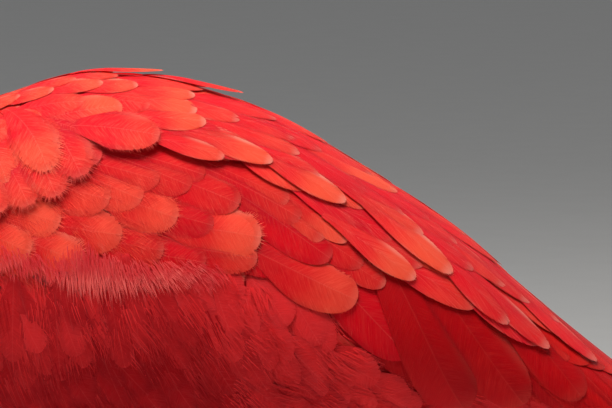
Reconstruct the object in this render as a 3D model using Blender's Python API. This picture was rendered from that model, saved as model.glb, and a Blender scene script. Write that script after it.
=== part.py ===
"""A life-size scarlet ibis, standing at rest: still solids, one for each part of the bird.

The bird faces -X and its left side faces -Y. The origin lies on the floor under the middle of its box.
One loft, the plumage surface, runs from the bill's base over head, neck and body to the folded wing tips.
The parts are lengths of that loft, or shells that lie one over another just under it. Rows of overlapping
vanes grow from the shells of wings and mantle and from the tail: its coverts and flight feathers.
"""
from collections import namedtuple
import math

import bmesh
import bpy
import numpy as np
from mathutils import Matrix, Vector

MM = 0.001
GAP = 0.3 * MM

# Driving sizes of the bird, in metres
BACK_HEIGHT = 285 * MM
BACK_TOP_X = 22.0 * MM
BILL_LENGTH = 145 * MM
BILL_BASE_PITCH = 14.0
BILL_TURN = 46.0
BILL_BASE_DEPTH = 17.8 * MM
BILL_TIP_DEPTH = 4.4 * MM
BILL_BASE_WIDTH = 14.2 * MM
BILL_TIP_WIDTH = 4.0 * MM
NOSTRIL_SHARE = 0.085  # of the bill's length
NOSTRIL_SIZE = (9 * MM, 3.2 * MM, 1.1 * MM)
NOSTRIL_TILT = 38.0
EYE_RADIUS = 5.0 * MM
EYE_PLACE = (-116.5, 11.8, 109.5)  # mm from the top of the back
LID_OUT = 3.1  # mm from the eye's centre to the rim of the lids
LID_ROLL = 1.1 * MM
TAIL_LENGTH = 92 * MM
TAIL_PITCH = 28.0
LEG_SPREAD = 26 * MM
TOE_LENGTHS = {"inner": 44 * MM, "middle": 60 * MM, "outer": 48 * MM, "hind": 25 * MM}
TOE_HEADINGS = {"inner": -21.0, "middle": 2.0, "outer": 28.0, "hind": -172.0}
CLAW_LENGTH = 9 * MM

# The plumage surface: back line (x, z), belly line (x, z) and half width, in mm from the top of the back
BODY_LINE = {
    "bill_base": ((-139, 113), (-134, 93), 8),
    "forehead": ((-128, 121.5), (-125, 90), 12.5),
    "eye": ((-114, 126.5), (-113, 88), 15.5),
    "crown": ((-99, 126), (-105, 86), 16.5),
    "nape": ((-86, 117), (-101, 82), 16),
    "head_end": ((-79, 101), (-102, 77), 14.5),
    "upper_neck": ((-76, 80), (-103.5, 68), 13.5),
    "mid_neck": ((-78, 55), (-106, 49), 14),
    "low_neck": ((-80.5, 30), (-112, 23), 16.5),
    "neck_bend": ((-79, 8), (-117, -8), 21),
    "neck_base": ((-70, -8), (-113, -37), 26.5),
    "neck_root": ((-57, -16), (-105, -64), 33),
    "upper_breast": ((-38, -8.5), (-93, -92), 44),
    "shoulders": ((-12, -1), (-69, -114), 54),
    "breast": ((18, -3), (-37, -128), 59),
    "mid_body": ((50, -13.5), (3, -133), 59),
    "hips": ((82, -31.5), (43, -133), 54),
    "rump": ((112, -51.5), (80, -128), 45),
    "tail_root": ((138, -74), (112, -122), 34),
    "tertial_ends": ((164, -96), (148, -125), 25),
    "wing_ends": ((190, -116), (180, -133), 16),
    "past_the_tips": ((216, -136), (210, -146), 10),
}
EGG = 0.06  # how much wider the sections are below their middle
STATION = {name: float(i) for i, name in enumerate(BODY_LINE)}

# How deep the shells lie under the plumage surface
WING_BED = 8.0 * MM
BED_GAP = 0.35 * MM
SUNK = 2 * MM
WING_THICK = 4.5 * MM
WING_TOP = 3.6 * MM
WING_TOP_UNDER_MANTLE = 5.1 * MM
MANTLE_TOP = 2.6 * MM
MANTLE_RIM = 8.0  # how far the mantle's vanes reach past its core, in degrees of turn
THINNEST_SHELL = 0.9 * MM
RING_STEP = 0.7
RING_LENGTH = 32 * MM  # about one station's length along the body

# Turns round the body from the back line, in degrees, at whole stations from the upper breast on
WING_FRONT = 12.0
WING_END = 18.5
WING_MIDLINE = 3.0  # the least turn of a wing vane, which keeps the two wings apart
WING_LOWER_EDGE = (96, 97, 89, 80, 92, 112, 114, 100, 84, 75)
WING_UPPER_EDGE = (38, 27, 21, 17, 11, 7, 6, 6, 8, 10)
MANTLE_FRONT = 11.5
MANTLE_END = 18.0
MANTLE_EDGE = (84, 76, 54, 50, 50, 49, 46, 38, 30, 30)

# Vanes. A form gives the half width at shares of the length, as shares of half the full width.
VANE_THICK = 0.55 * MM
VANE_SEED = 7
COVERT = ((0.0, 0.4, 0.8, 1.0), (0.22, 0.92, 0.92, 0.3))
FLIGHT = ((0.0, 0.25, 0.6, 0.86, 1.0), (0.22, 0.88, 1.0, 0.85, 0.25))
# A tier is a row of vanes. Places are (station, turn), lengths and widths are in mm from first to last,
# headings are degrees down from the body's line, and rises are mm over the plumage surface: that of the
# roots, and those of the first and the last tip.
Tier = namedtuple("Tier", "count first last lengths width headings rises form")
WING_SHINGLE = 0.17  # how much a vane tips outwards towards its lower edge, as a slope
MANTLE_SHINGLE = 0.12
WING_TIERS = (
    Tier(3, (12.6, 87), (13.1, 71), (32, 32), 17, (10, 8), (-4.8, -1.6, -0.4), COVERT),
    Tier(4, (13.4, 84), (14.2, 56), (36, 36), 18, (14, 8), (-4.8, -1.0, -1.0), COVERT),
    Tier(4, (14.7, 76), (14.9, 53), (46, 46), 18, (20, 12), (-4.8, -1.2, -0.8), COVERT),
    Tier(5, (16.2, 86), (15.6, 52), (72, 80), 20, (11, 8), (-5.0, -1.8, -0.2), FLIGHT),
    Tier(3, (17.2, 80), (17.0, 56), (88, 98), 13, (2, 0), (-6.6, -4.8, -3.4), FLIGHT),
    Tier(3, (17.9, 49), (17.9, 20), (64, 72), 17, (2, 0), (-6.2, -1.4, 0.4), FLIGHT),
)
MANTLE_TIERS = (
    Tier(3, (12.2, 19), (12.1, 62), (38, 36), 23, (6, 30), (-2.6, 0.3, 3.0), COVERT),
    Tier(3, (13.2, 18), (13.1, 50), (44, 42), 23, (5, 22), (-3.4, 0.3, 2.6), COVERT),
    Tier(2, (14.2, 18), (14.1, 37), (50, 46), 22, (4, 14), (-3.4, 0.2, 2.3), COVERT),
    Tier(2, (15.2, 18), (15.1, 36), (58, 54), 20, (3, 9), (-3.4, 0.1, 2.3), COVERT),
    Tier(2, (16.2, 17), (16.1, 37), (68, 64), 18, (0, 6), (-3.4, -0.2, 2.4), COVERT),
)
MIDDLE_LIFT = 0.35 * MM  # the mantle's middle vanes lie over the ones beside them
# The closed tail: pairs of vanes from the middle outwards, each a little under the last
TAIL_PAIRS = 6
TAIL_VANE_WIDTH = 15 * MM
TAIL_FAN = 1.5  # degrees from one pair to the next
TAIL_STEP = 0.9 * MM
TAIL_BLOCK = 54 * MM  # length of the coverts that hold the tail's roots, deepest under the body's end
TAIL_BLOCK_DEPTHS = (20 * MM, 12 * MM, 3.4 * MM)

FEATHER_RED = (0.78, 0.035, 0.03, 1.0)
SKIN_PINK = (0.72, 0.22, 0.19, 1.0)
BILL_BROWN = (0.16, 0.09, 0.08, 1.0)
CLAW_DARK = (0.05, 0.04, 0.04, 1.0)
EYE_BROWN = (0.02, 0.012, 0.01, 1.0)


def clear_scene():
    for obj in list(bpy.data.objects):
        bpy.data.objects.remove(obj, do_unlink=True)


def material(name, colour, roughness):
    """A Principled material of one colour, made once for each name."""
    made = bpy.data.materials.get(name) or bpy.data.materials.new(name)
    made.use_nodes = True
    shader = made.node_tree.nodes["Principled BSDF"]
    shader.inputs["Base Color"].default_value = colour
    shader.inputs["Roughness"].default_value = roughness
    return made


def finish_of(kind):
    return {
        "plumage": material("scarlet_plumage", FEATHER_RED, 0.6),
        "skin": material("pink_skin", SKIN_PINK, 0.5),
        "bill": material("bill_horn", BILL_BROWN, 0.35),
        "claw": material("claw_horn", CLAW_DARK, 0.4),
        "eye": material("eye", EYE_BROWN, 0.05),
    }[kind]


def smooth(values, t):
    """The smooth curve through the rows of values, which lie at t = 0, 1, 2 and on."""
    values = np.asarray(values, float)
    rows = np.concatenate([2 * values[:1] - values[1:2], values, 2 * values[-1:] - values[-2:-1]])
    t = np.clip(np.asarray(t, float), 0, len(values) - 1 - 1e-9)
    i = t.astype(int)
    f = (t - i).reshape(t.shape + (1,) * (values.ndim - 1))
    a, b, c, d = rows[i], rows[i + 1], rows[i + 2], rows[i + 3]
    curve = 2 * b + (c - a) * f + (2 * a - 5 * b + 4 * c - d) * f**2
    return 0.5 * (curve + (3 * b - a - 3 * c + d) * f**3)


def ease(low, high, x):
    """0 below low, 1 above high, and smooth between."""
    f = np.clip((np.asarray(x, float) - low) / (high - low), 0, 1)
    return f * f * (3 - 2 * f)


BACK = np.array([row[0] for row in BODY_LINE.values()]) * MM + (BACK_TOP_X, BACK_HEIGHT)
BELLY = np.array([row[1] for row in BODY_LINE.values()]) * MM + (BACK_TOP_X, BACK_HEIGHT)
HALF_WIDTH = np.array([row[2] for row in BODY_LINE.values()]) * MM


def plumage(t, turn, rise=0.0):
    """Points of the plumage surface at station t, turned from the back line to the left, lifted by rise."""
    t, turn, rise = np.broadcast_arrays(np.asarray(t, float), np.radians(turn), rise)
    back, belly, half = smooth(BACK, t), smooth(BELLY, t), smooth(HALF_WIDTH, t)
    centre, reach = (back + belly) / 2, (back - belly) / 2
    across = -half * np.sin(turn) * (1 - EGG * np.cos(turn))
    offset = np.stack([reach[..., 0] * np.cos(turn), across, reach[..., 1] * np.cos(turn)], -1)
    offset *= (1 + rise / np.linalg.norm(offset, axis=-1))[..., None]
    return offset + np.stack([centre[..., 0], np.zeros_like(half), centre[..., 1]], -1)


def edge_at(edge, t):
    """An edge's turn at station t, from its turns at whole stations from the upper breast on."""
    return smooth(edge, np.asarray(t, float) - STATION["upper_breast"])


def body_depth(t, turn):
    """How far the bare torso lies under the plumage surface: a bed for the wing shells and the mantle."""
    lower = edge_at(WING_LOWER_EDGE, t)
    side = 1 - ease(lower - 8, lower + 10, np.abs(turn))
    front = ease(STATION["neck_root"] + 0.2, STATION["upper_breast"] + 0.6, t)
    return WING_BED * side * front


def wing_top(t, turn):
    """The rise of the wing shell's outer face, lower where the mantle lies on it."""
    rim = edge_at(MANTLE_EDGE, t) - MANTLE_RIM
    under = 1 - ease(rim + 2, rim + 10, np.abs(turn))
    under = under * (1 - ease(MANTLE_END - 0.4, MANTLE_END + 0.2, t))
    top = -(WING_TOP + (WING_TOP_UNDER_MANTLE - WING_TOP) * under)
    return np.maximum(top, -body_depth(t, turn) + BED_GAP + THINNEST_SHELL)


def add_object(name, points, faces, kind):
    """A closed mesh object with its faces pointing out."""
    mesh = bpy.data.meshes.new(name)
    made = bmesh.new()
    corners = [made.verts.new(p) for p in points]
    for face in faces:
        made.faces.new([corners[i] for i in face])
    bmesh.ops.recalc_face_normals(made, faces=made.faces[:])
    if made.calc_volume(signed=True) < 0:
        bmesh.ops.reverse_faces(made, faces=made.faces[:])
    made.to_mesh(mesh)
    made.free()
    mesh.shade_smooth()
    obj = bpy.data.objects.new(name, mesh)
    obj.data.materials.append(finish_of(kind))
    bpy.context.scene.collection.objects.link(obj)
    return obj


def grid_faces(rows, columns, first=0, closed=False):
    """Triangles over a grid of points, all split the same way."""
    faces = []
    for r in range(rows - 1):
        for c in range(columns if closed else columns - 1):
            a = first + r * columns + c
            b = first + r * columns + (c + 1) % columns
            faces += [(a, b, b + columns), (a, b + columns, a + columns)]
    return faces


def tube(name, rings, kind):
    """A closed tube through rings of points, each end filled by a flat face."""
    count, sides = rings.shape[:2]
    faces = grid_faces(count, sides, closed=True)
    faces.append(tuple(range(sides))[::-1])
    faces.append(tuple(range((count - 1) * sides, count * sides)))
    return add_object(name, rings.reshape(-1, 3), faces, kind)


def body_length(name, start, end, sides, step=RING_STEP, depth=None):
    """A length of the plumage loft between two stations."""
    t = np.linspace(start, end, max(2, round((end - start) / step) + 1))
    turn = np.arange(sides) * 360.0 / sides
    turn = np.where(turn > 180, turn - 360, turn)
    t, turn = np.meshgrid(t, turn, indexing="ij")
    rise = -depth(t, turn) if depth else 0.0
    return tube(name, plumage(t, turn, rise), "plumage")


def shell(name, side, stations, upper, lower, columns, inner, outer):
    """A closed shell on one side of the body between two edges, with its own inner and outer rise."""
    t = np.repeat(stations[:, None], columns, 1)
    share = np.linspace(0, 1, columns)[None, :]
    turn = upper(t) * (1 - share) + lower(t) * share
    faces_in = plumage(t, side * turn, inner(t, turn))
    faces_out = plumage(t, side * turn, outer(t, turn))
    return closed_sheet(name, faces_in, faces_out, "plumage")


def closed_sheet(name, under, over, kind):
    """A closed solid between two grids of points of the same shape."""
    rows, columns = over.shape[:2]
    count = rows * columns
    faces = grid_faces(rows, columns) + grid_faces(rows, columns, first=count)
    rim = [(0, c) for c in range(columns)] + [(r, columns - 1) for r in range(1, rows)]
    rim += [(rows - 1, c) for c in range(columns - 2, -1, -1)] + [(r, 0) for r in range(rows - 2, 0, -1)]
    for (r0, c0), (r1, c1) in zip(rim, rim[1:] + rim[:1]):
        a, b = r0 * columns + c0, r1 * columns + c1
        faces += [(a, b, b + count), (a, b + count, a + count)]
    points = np.concatenate([under.reshape(-1, 3), over.reshape(-1, 3)])
    return add_object(name, points, faces, kind)


def applied(obj):
    """The object with its modifiers made part of its mesh."""
    graph = bpy.context.evaluated_depsgraph_get()
    mesh = bpy.data.meshes.new_from_object(obj.evaluated_get(graph))
    obj.modifiers.clear()
    obj.data = mesh
    return obj


def keep_largest(obj):
    """Keeps only the closed surface of the greatest size."""
    made = bmesh.new()
    made.from_mesh(obj.data)
    left, groups = set(made.faces), []
    while left:
        group, todo = set(), [left.pop()]
        while todo:
            face = todo.pop()
            group.add(face)
            for edge in face.edges:
                for other in edge.link_faces:
                    if other in left:
                        left.discard(other)
                        todo.append(other)
        groups.append(group)
    groups.sort(key=lambda g: sum(f.calc_area() for f in g))
    for group in groups[:-1]:
        bmesh.ops.delete(made, geom=list(group), context="FACES")
    made.to_mesh(obj.data)
    made.free()
    return obj


def joined(name, base, pieces, solver="MANIFOLD"):
    """The union of a base and its pieces as one closed object. The pieces' objects are removed."""
    group = bpy.data.collections.new(name + "_pieces")
    for piece in pieces:
        for home in piece.users_collection:
            home.objects.unlink(piece)
        group.objects.link(piece)
    union = base.modifiers.new("union", "BOOLEAN")
    union.operation = "UNION"
    union.operand_type = "COLLECTION"
    union.collection = group
    union.solver = solver
    applied(base)
    for piece in pieces:
        bpy.data.objects.remove(piece, do_unlink=True)
    bpy.data.collections.remove(group)
    base.name = name
    return keep_largest(base)


def cut_by(obj, cutter, solver="EXACT"):
    """Takes the cutter's shape out of the object and removes the cutter."""
    cut = obj.modifiers.new("cut", "BOOLEAN")
    cut.operation = "DIFFERENCE"
    cut.object = cutter
    cut.solver = solver
    cutter.hide_render = True
    cutter.display_type = "WIRE"
    applied(obj)
    bpy.data.objects.remove(cutter, do_unlink=True)
    return keep_largest(obj)


def ball(name, centre, radii, kind, segments=16, rings=10):
    """An ellipsoid with its axes along X, Y and Z."""
    mesh = bpy.data.meshes.new(name)
    made = bmesh.new()
    bmesh.ops.create_uvsphere(made, u_segments=segments, v_segments=rings, radius=1.0)
    placed = Matrix.Translation(centre) @ Matrix.Diagonal((*radii, 1))
    bmesh.ops.transform(made, matrix=placed, verts=made.verts[:])
    made.to_mesh(mesh)
    made.free()
    mesh.shade_smooth()
    obj = bpy.data.objects.new(name, mesh)
    obj.data.materials.append(finish_of(kind))
    bpy.context.scene.collection.objects.link(obj)
    return obj


def limb(name, stations, kind, sides=10, rings=None):
    """A tube along a limb. Each station is its centre and its half sizes fore and aft, and across."""
    stations = np.array(stations, float)
    count = rings or 3 * (len(stations) - 1) + 1
    t = np.linspace(0, len(stations) - 1, count)
    rows = smooth(stations, t)
    ahead = smooth(stations, t + 0.01)[:, :3] - smooth(stations, t - 0.01)[:, :3]
    ahead /= np.linalg.norm(ahead, axis=1)[:, None]
    across = np.cross(ahead, ahead @ np.array([[0, 0, 1], [0, 0, 0], [-1, 0, 0]]))
    across /= np.linalg.norm(across, axis=1)[:, None]
    fore = np.cross(across, ahead)
    turn = np.arange(sides) * 2 * math.pi / sides
    ring = rows[:, None, 3:4] * np.cos(turn)[None, :, None] * fore[:, None]
    ring = ring + rows[:, None, 4:5] * np.sin(turn)[None, :, None] * across[:, None]
    return tube(name, rows[:, None, :3] + ring, kind)


def from_back(x, y, z):
    """A place given in mm from the top of the back."""
    return (x * MM + BACK_TOP_X, y * MM, z * MM + BACK_HEIGHT)


def surface_steps(t, turn, heading):
    """Changes of station and turn for a metre ahead on a heading, and for a metre across it downwards."""
    ahead = (plumage(t + 0.01, turn) - plumage(t - 0.01, turn)) / 0.02
    down = plumage(t, turn + 0.5) - plumage(t, turn - 0.5)
    along = ahead / np.linalg.norm(ahead)
    side = down - along * (down @ along)
    side /= np.linalg.norm(side)
    phi = math.radians(heading)
    goals = (math.cos(phi) * along + math.sin(phi) * side, math.cos(phi) * side - math.sin(phi) * along)
    basis = np.stack([ahead, down], 1)
    return [np.linalg.lstsq(basis, goal, rcond=None)[0] for goal in goals]


def clear_of_neighbours(t, turn, lift):
    """Keeps a wing vane off the torso, off the other wing and out from under the mantle's core."""
    off_torso = -body_depth(t, turn) + 2 * BED_GAP + VANE_THICK
    lift = np.where(t < STATION["tail_root"] + 0.1, np.maximum(lift, off_torso), lift)
    meets_mantle = (t < MANTLE_END + 0.1) & (lift > -WING_TOP_UNDER_MANTLE - VANE_THICK)
    least = np.where(meets_mantle, edge_at(MANTLE_EDGE, t) - MANTLE_RIM + 2, WING_MIDLINE)
    return np.maximum(turn, least), lift


def vane(side, place, heading, length, width, rises, form, slope, limits=None):
    """One feather: a thin closed solid that follows the plumage from its sunk root out to its tip."""
    here, last = np.array(place, float), 0.0
    under, over = [], []
    for share, half in zip(*form):
        for _ in range(2):
            here = here + surface_steps(*here, heading)[0] * length * (share - last) / 2
        last = share
        ahead, across = surface_steps(*here, heading)
        reach = np.array([-1.0, 0.0, 1.0]) * half * width / 2
        rounding = np.array([1.0, 0.0, 1.0]) * 0.22 * width * share**4
        spots = here + reach[:, None] * across - rounding[:, None] * ahead
        lift = rises[0] + (rises[1] - rises[0]) * share**0.65 + slope * reach
        t, turn = spots.T
        if limits:
            turn, lift = limits(t, turn, lift)
        under.append(plumage(t, side * turn, lift - VANE_THICK / 2))
        over.append(plumage(t, side * turn, lift + VANE_THICK / 2))
    return closed_sheet("vane", np.array(under), np.array(over), "plumage")


def tier_vanes(side, tier, draw, slope, limits=None):
    """The vanes of one tier on one side, each a little different."""
    vanes = []
    for share in np.linspace(0, 1, tier.count):
        place = np.array(tier.first) * (1 - share) + np.array(tier.last) * share + draw.normal(0, (0.02, 0.5))
        length = np.interp(share, (0, 1), tier.lengths) * draw.normal(1, 0.03)
        heading = np.interp(share, (0, 1), tier.headings) + draw.normal(0, 1)
        rises = tier.rises[0] * MM, np.interp(share, (0, 1), tier.rises[1:]) * MM
        width = tier.width * MM
        vanes.append(vane(side, place, heading, length * MM, width, rises, tier.form, slope, limits))
    return vanes


def make_torso():
    """The body under wings and mantle. Its belly and flanks show, and its sides are beds for the wings."""
    return body_length("torso", STATION["neck_root"], STATION["tail_root"], 30, depth=body_depth)


def torso_bed():
    """The torso grown by the gap that its neighbours keep to it."""
    return body_length("bed", STATION["neck_root"], STATION["tail_root"] + 2 * GAP / RING_LENGTH, 30,
                       depth=lambda t, turn: body_depth(t, turn) - BED_GAP)


def make_neck():
    """The S-shaped neck in two lengths, parted by thin cuts."""
    cut = GAP / (12 * MM)
    body_length("neck_lower", STATION["low_neck"] + cut / 2, STATION["neck_root"] - GAP / (16 * MM), 20)
    body_length("neck_upper", STATION["head_end"] + cut / 2, STATION["low_neck"] - cut / 2, 20)


def make_head():
    """Skull and cheeks with a socket and a rim of lids for each eye."""
    cut = GAP / (12 * MM)
    head = body_length("head", STATION["bill_base"], STATION["head_end"] - cut / 2, 22, step=0.4)
    x, y, z = EYE_PLACE
    lids = []
    for side in (-1, 1):
        bpy.ops.mesh.primitive_torus_add(
            location=from_back(x, side * (y + LID_OUT), z), rotation=(math.radians(90 + 4 * side), 0, 0),
            major_radius=EYE_RADIUS + 0.7 * MM, minor_radius=LID_ROLL, major_segments=16, minor_segments=5)
        lids.append(bpy.context.object)
    joined("head", head, lids, solver="EXACT")
    for side in (-1, 1):
        centre = from_back(x, side * y, z)
        socket = [EYE_RADIUS + GAP] * 3
        cut_by(head, ball("socket", centre, socket, "skin"))
        ball("eye_right" if side > 0 else "eye_left", centre, [EYE_RADIUS] * 3, "eye", 12, 8)


def bill_line(share):
    """Centre and pitch of the bill at a share of its length: an arc that turns down towards the tip."""
    pitch = math.radians(BILL_BASE_PITCH) + math.radians(BILL_TURN) * share
    radius = BILL_LENGTH / math.radians(BILL_TURN)
    start = math.radians(BILL_BASE_PITCH)
    base = (BACK[0] + BELLY[0]) / 2
    x = base[0] - radius * (np.sin(pitch) - math.sin(start)) - GAP * math.cos(start)
    z = base[1] - radius * (math.cos(start) - np.cos(pitch)) - GAP * math.sin(start)
    return x, z, pitch


def make_bill():
    """Two horny halves that meet along the line of the mouth."""
    share = np.linspace(0, 1, 15)
    taper = (1 - share) ** 1.1
    depth = BILL_TIP_DEPTH + (BILL_BASE_DEPTH - BILL_TIP_DEPTH) * taper
    width = BILL_TIP_WIDTH + (BILL_BASE_WIDTH - BILL_TIP_WIDTH) * taper
    rounding = np.where(share > 0.97, 0.55, 1.0)
    x, z, pitch = bill_line(share)
    arc = np.radians(np.linspace(0, 180, 9))
    halves = []
    for name, up, part in (("bill_upper", 1, 0.56), ("bill_lower", -1, 0.44)):
        across = np.cos(arc)[None] * (width * rounding)[:, None] / 2
        height = up * (GAP / 2 + np.sin(arc)[None] * (depth * part * rounding)[:, None])
        height = height + (depth * 0.02)[:, None]
        points = np.stack([
            x[:, None] + np.sin(pitch)[:, None] * -height,
            across,
            z[:, None] + np.cos(pitch)[:, None] * height], -1)
        halves.append(tube(name, points, "bill"))
    for side in (-1, 1):
        x, z, tilt = bill_line(NOSTRIL_SHARE)
        height, out = 0.38 * BILL_BASE_WIDTH, 0.39 * BILL_BASE_WIDTH
        bpy.ops.mesh.primitive_cube_add(
            size=1, location=(x - height * math.sin(tilt), side * out, z + height * math.cos(tilt)),
            rotation=(math.radians(-NOSTRIL_TILT * side), -tilt, 0))
        slot = bpy.context.object
        slot.scale = NOSTRIL_SIZE
        bpy.context.view_layer.update()
        cut_by(halves[0], slot)


def wing_core(name, side, end, grow=0.0):
    """The folded wing as one smooth shell on the body's side, out to station end."""
    stations = np.linspace(WING_FRONT, end, 11)
    if grow:
        stations[0] -= 2 * grow / RING_LENGTH

    def edge(which, t, way):
        back, belly = smooth(BACK, t), smooth(BELLY, t)
        return edge_at(which, t) + way * np.degrees(2 * grow / np.linalg.norm(back - belly, axis=-1))

    def inner(t, turn):
        past = ease(STATION["tail_root"], STATION["tail_root"] + 0.5, t)
        return -(body_depth(t, turn) + SUNK) * (1 - past) - WING_THICK * past - grow

    return shell(
        name, side, stations, lambda t: edge(WING_UPPER_EDGE, t, -1), lambda t: edge(WING_LOWER_EDGE, t, 1),
        8, inner, lambda t, turn: wing_top(t, turn) + grow)


def make_wings():
    """Each folded wing: a smooth core with tiers of coverts and flight feathers."""
    for name, side in (("wing_left", 1), ("wing_right", -1)):
        draw = np.random.default_rng(VANE_SEED + side)
        core = cut_by(wing_core(name, side, WING_END), torso_bed())
        vanes = []
        for tier in WING_TIERS:
            vanes += tier_vanes(side, tier, draw, WING_SHINGLE, clear_of_neighbours)
        joined(name, core, vanes)


def make_mantle():
    """The cape of mantle and shoulder feathers over the back, on the upper edges of both wings."""
    stations = np.linspace(MANTLE_FRONT, MANTLE_END, 8)
    columns = 13
    t = np.repeat(stations[:, None], columns, 1)
    turn = np.linspace(-1, 1, columns)[None] * (edge_at(MANTLE_EDGE, t) - MANTLE_RIM)
    sunk = -body_depth(t, turn) - SUNK
    mantle = closed_sheet("mantle", plumage(t, turn, sunk), plumage(t, turn, -MANTLE_TOP), "plumage")
    cut_by(mantle, torso_bed(), solver="MANIFOLD")
    for side in (-1, 1):
        cut_by(mantle, wing_core("wing_bed", side, WING_END, grow=BED_GAP), solver="MANIFOLD")
    draw = np.random.default_rng(VANE_SEED)
    vanes = []
    for tier in MANTLE_TIERS:
        rises = tier.rises[0] * MM, tier.rises[1] * MM + MIDDLE_LIFT
        middle = (tier.first[0], draw.normal(0, 0.5))
        vanes.append(vane(1, middle, 0, tier.lengths[0] * MM, tier.width * MM, rises, tier.form, slope=0.0))
        for side in (-1, 1):
            vanes += tier_vanes(side, tier, draw, MANTLE_SHINGLE)
    joined("mantle", mantle, vanes)


def tail_point(along, across, rise=0.0):
    """A point of the closed tail's slightly arched upper face, from the end of the body."""
    along, across, rise = np.broadcast_arrays(np.asarray(along, float), across, rise)
    pitch = math.radians(TAIL_PITCH)
    root = (BACK[18] + BELLY[18]) / 2
    drop = rise - 6.0 * across**2
    return np.stack([
        root[0] + GAP + along * math.cos(pitch) + drop * math.sin(pitch), across,
        root[1] - along * math.sin(pitch) + drop * math.cos(pitch)], -1)


def make_tail():
    """The closed tail behind the body: pairs of long vanes that grow from a block of tail coverts."""
    along = np.linspace(0.004 * TAIL_LENGTH, TAIL_BLOCK, 5)
    half = np.interp(along, [0, TAIL_BLOCK], [15 * MM, 14 * MM])
    along = np.repeat(along[:, None], 7, 1)
    share = np.linspace(-1, 1, 7)[None]
    depth = np.interp(along, np.array([0, 0.5, 1]) * TAIL_BLOCK, TAIL_BLOCK_DEPTHS)
    lower = tail_point(along, share * half[:, None], -depth * np.sqrt(1 - 0.85 * share**2))
    upper = tail_point(along, share * half[:, None], 3 * MM * (1 - along / TAIL_BLOCK) + 0.4 * MM)
    block = closed_sheet("tail", lower, upper, "plumage")
    vanes = []
    for pair in range(TAIL_PAIRS):
        for side in (-1, 1):
            vanes.append(tail_vane(side, pair))
    joined("tail", block, vanes)


def tail_vane(side, pair):
    """One tail feather. Pair 0 lies on top, and its right vane a little under its left one."""
    shares = np.array((0.06, 0.4, 0.7, 0.9, 1.0))
    halves = np.array((0.5, 0.85, 1.0, 0.9, 0.3)) * TAIL_VANE_WIDTH / 2
    along = shares * TAIL_LENGTH * (1 - 0.015 * pair)
    centre = 2 * MM + (3 * MM + along) * math.tan(math.radians(TAIL_FAN * (pair + 0.5)))
    inner = centre - halves
    if pair or side > 0:
        inner = np.maximum(inner, GAP)
    across = side * np.stack([inner, (inner + centre + halves) / 2, centre + halves], 1)
    drop = -TAIL_STEP * (pair + (1 if side > 0 and pair == 0 else 0) + (pair > 0))
    rounding = 0.2 * TAIL_VANE_WIDTH * shares[:, None] ** 4 * np.array([[1, 0, 1]])
    along = along[:, None] - rounding
    under = tail_point(along, across, drop - VANE_THICK / 2)
    return closed_sheet("vane", under, tail_point(along, across, drop + VANE_THICK / 2), "plumage")


def make_legs():
    """Feathered thigh, bare shank with its heel joint, and foot with four toes, for each side."""
    for name, side in (("left", -1), ("right", 1)):
        y = side * LEG_SPREAD / MM
        thigh = limb("thigh_" + name, [
            (*from_back(8, y * 0.9, -104), 24 * MM, 15 * MM),
            (*from_back(14, y, -124), 21 * MM, 14 * MM),
            (*from_back(22, y, -144), 12.5 * MM, 10 * MM),
            (*from_back(29, y, -161), 6.6 * MM, 6.2 * MM)], "plumage", sides=14, rings=9)
        cut_by(thigh, torso_bed())
        limb("shank_" + name, [
            (*from_back(29.2, y, -161.35), 4.7 * MM, 4.2 * MM),
            (*from_back(35.5, y, -175), 4.2 * MM, 3.7 * MM),
            (*from_back(40, y, -188), 6.0 * MM, 5.2 * MM),
            (*from_back(38.5, y, -200), 4.5 * MM, 3.6 * MM),
            (*from_back(34, y, -225), 3.8 * MM, 3.0 * MM),
            (*from_back(29.5, y, -251), 3.8 * MM, 3.1 * MM),
            (*from_back(26.5, y, -274), 4.8 * MM, 4.4 * MM)], "skin", sides=12, rings=19)
        make_foot(name, side, np.array(from_back(25.6, y, -285)))


def make_foot(name, side, root):
    """Four toes with joint pads, flat underneath, and a curved claw on each."""
    pad = ball("foot_" + name, Vector(root + (0, 0, 4.9 * MM)), (9 * MM, 7 * MM, 5.3 * MM), "skin", 14, 8)
    toes = []
    for toe, length in TOE_LENGTHS.items():
        heading = math.radians(TOE_HEADINGS[toe])
        ahead = np.array([-math.cos(heading), side * math.sin(heading), 0.0])
        slim = 0.85 if toe == "hind" else 1.0
        joints = []
        for share in (0.05, 0.25, 0.4, 0.55, 0.7, 0.85, 1.0):
            swell = 1.0 + 0.12 * math.cos(share / 0.3 * 2 * math.pi)
            radius = slim * swell * (3.5 - 1.2 * share) * MM
            centre = root + ahead * length * share + (0, 0, radius * 0.9)
            joints.append((*centre, radius, radius * 0.95))
        toes.append(limb("toe", joints, "skin", sides=7, rings=8))
        make_claw(f"claw_{name}_{toe}", root + ahead * (length + GAP), ahead, joints[-1][3])
    foot = joined("foot_" + name, pad, toes, solver="EXACT")
    bpy.ops.mesh.primitive_cube_add(size=0.4, location=(0, 0, -0.2))
    cut_by(foot, bpy.context.object)


def make_claw(name, root, ahead, toe_radius):
    """A blunt curved claw beyond the end of a toe."""
    rows = []
    for share in (0.0, 0.35, 0.7, 1.0):
        radius = toe_radius * 0.85 * (1 - 0.78 * share)
        height = toe_radius * 0.95 - 0.55 * toe_radius * share**2
        rows.append((*(root + ahead * CLAW_LENGTH * share + (0, 0, height)), radius, radius * 0.8))
    limb(name, rows, "claw", sides=6, rings=6)


def main():
    clear_scene()
    make_torso()
    make_neck()
    make_head()
    make_bill()
    make_wings()
    make_mantle()
    make_tail()
    make_legs()


main()
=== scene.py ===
import math

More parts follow.
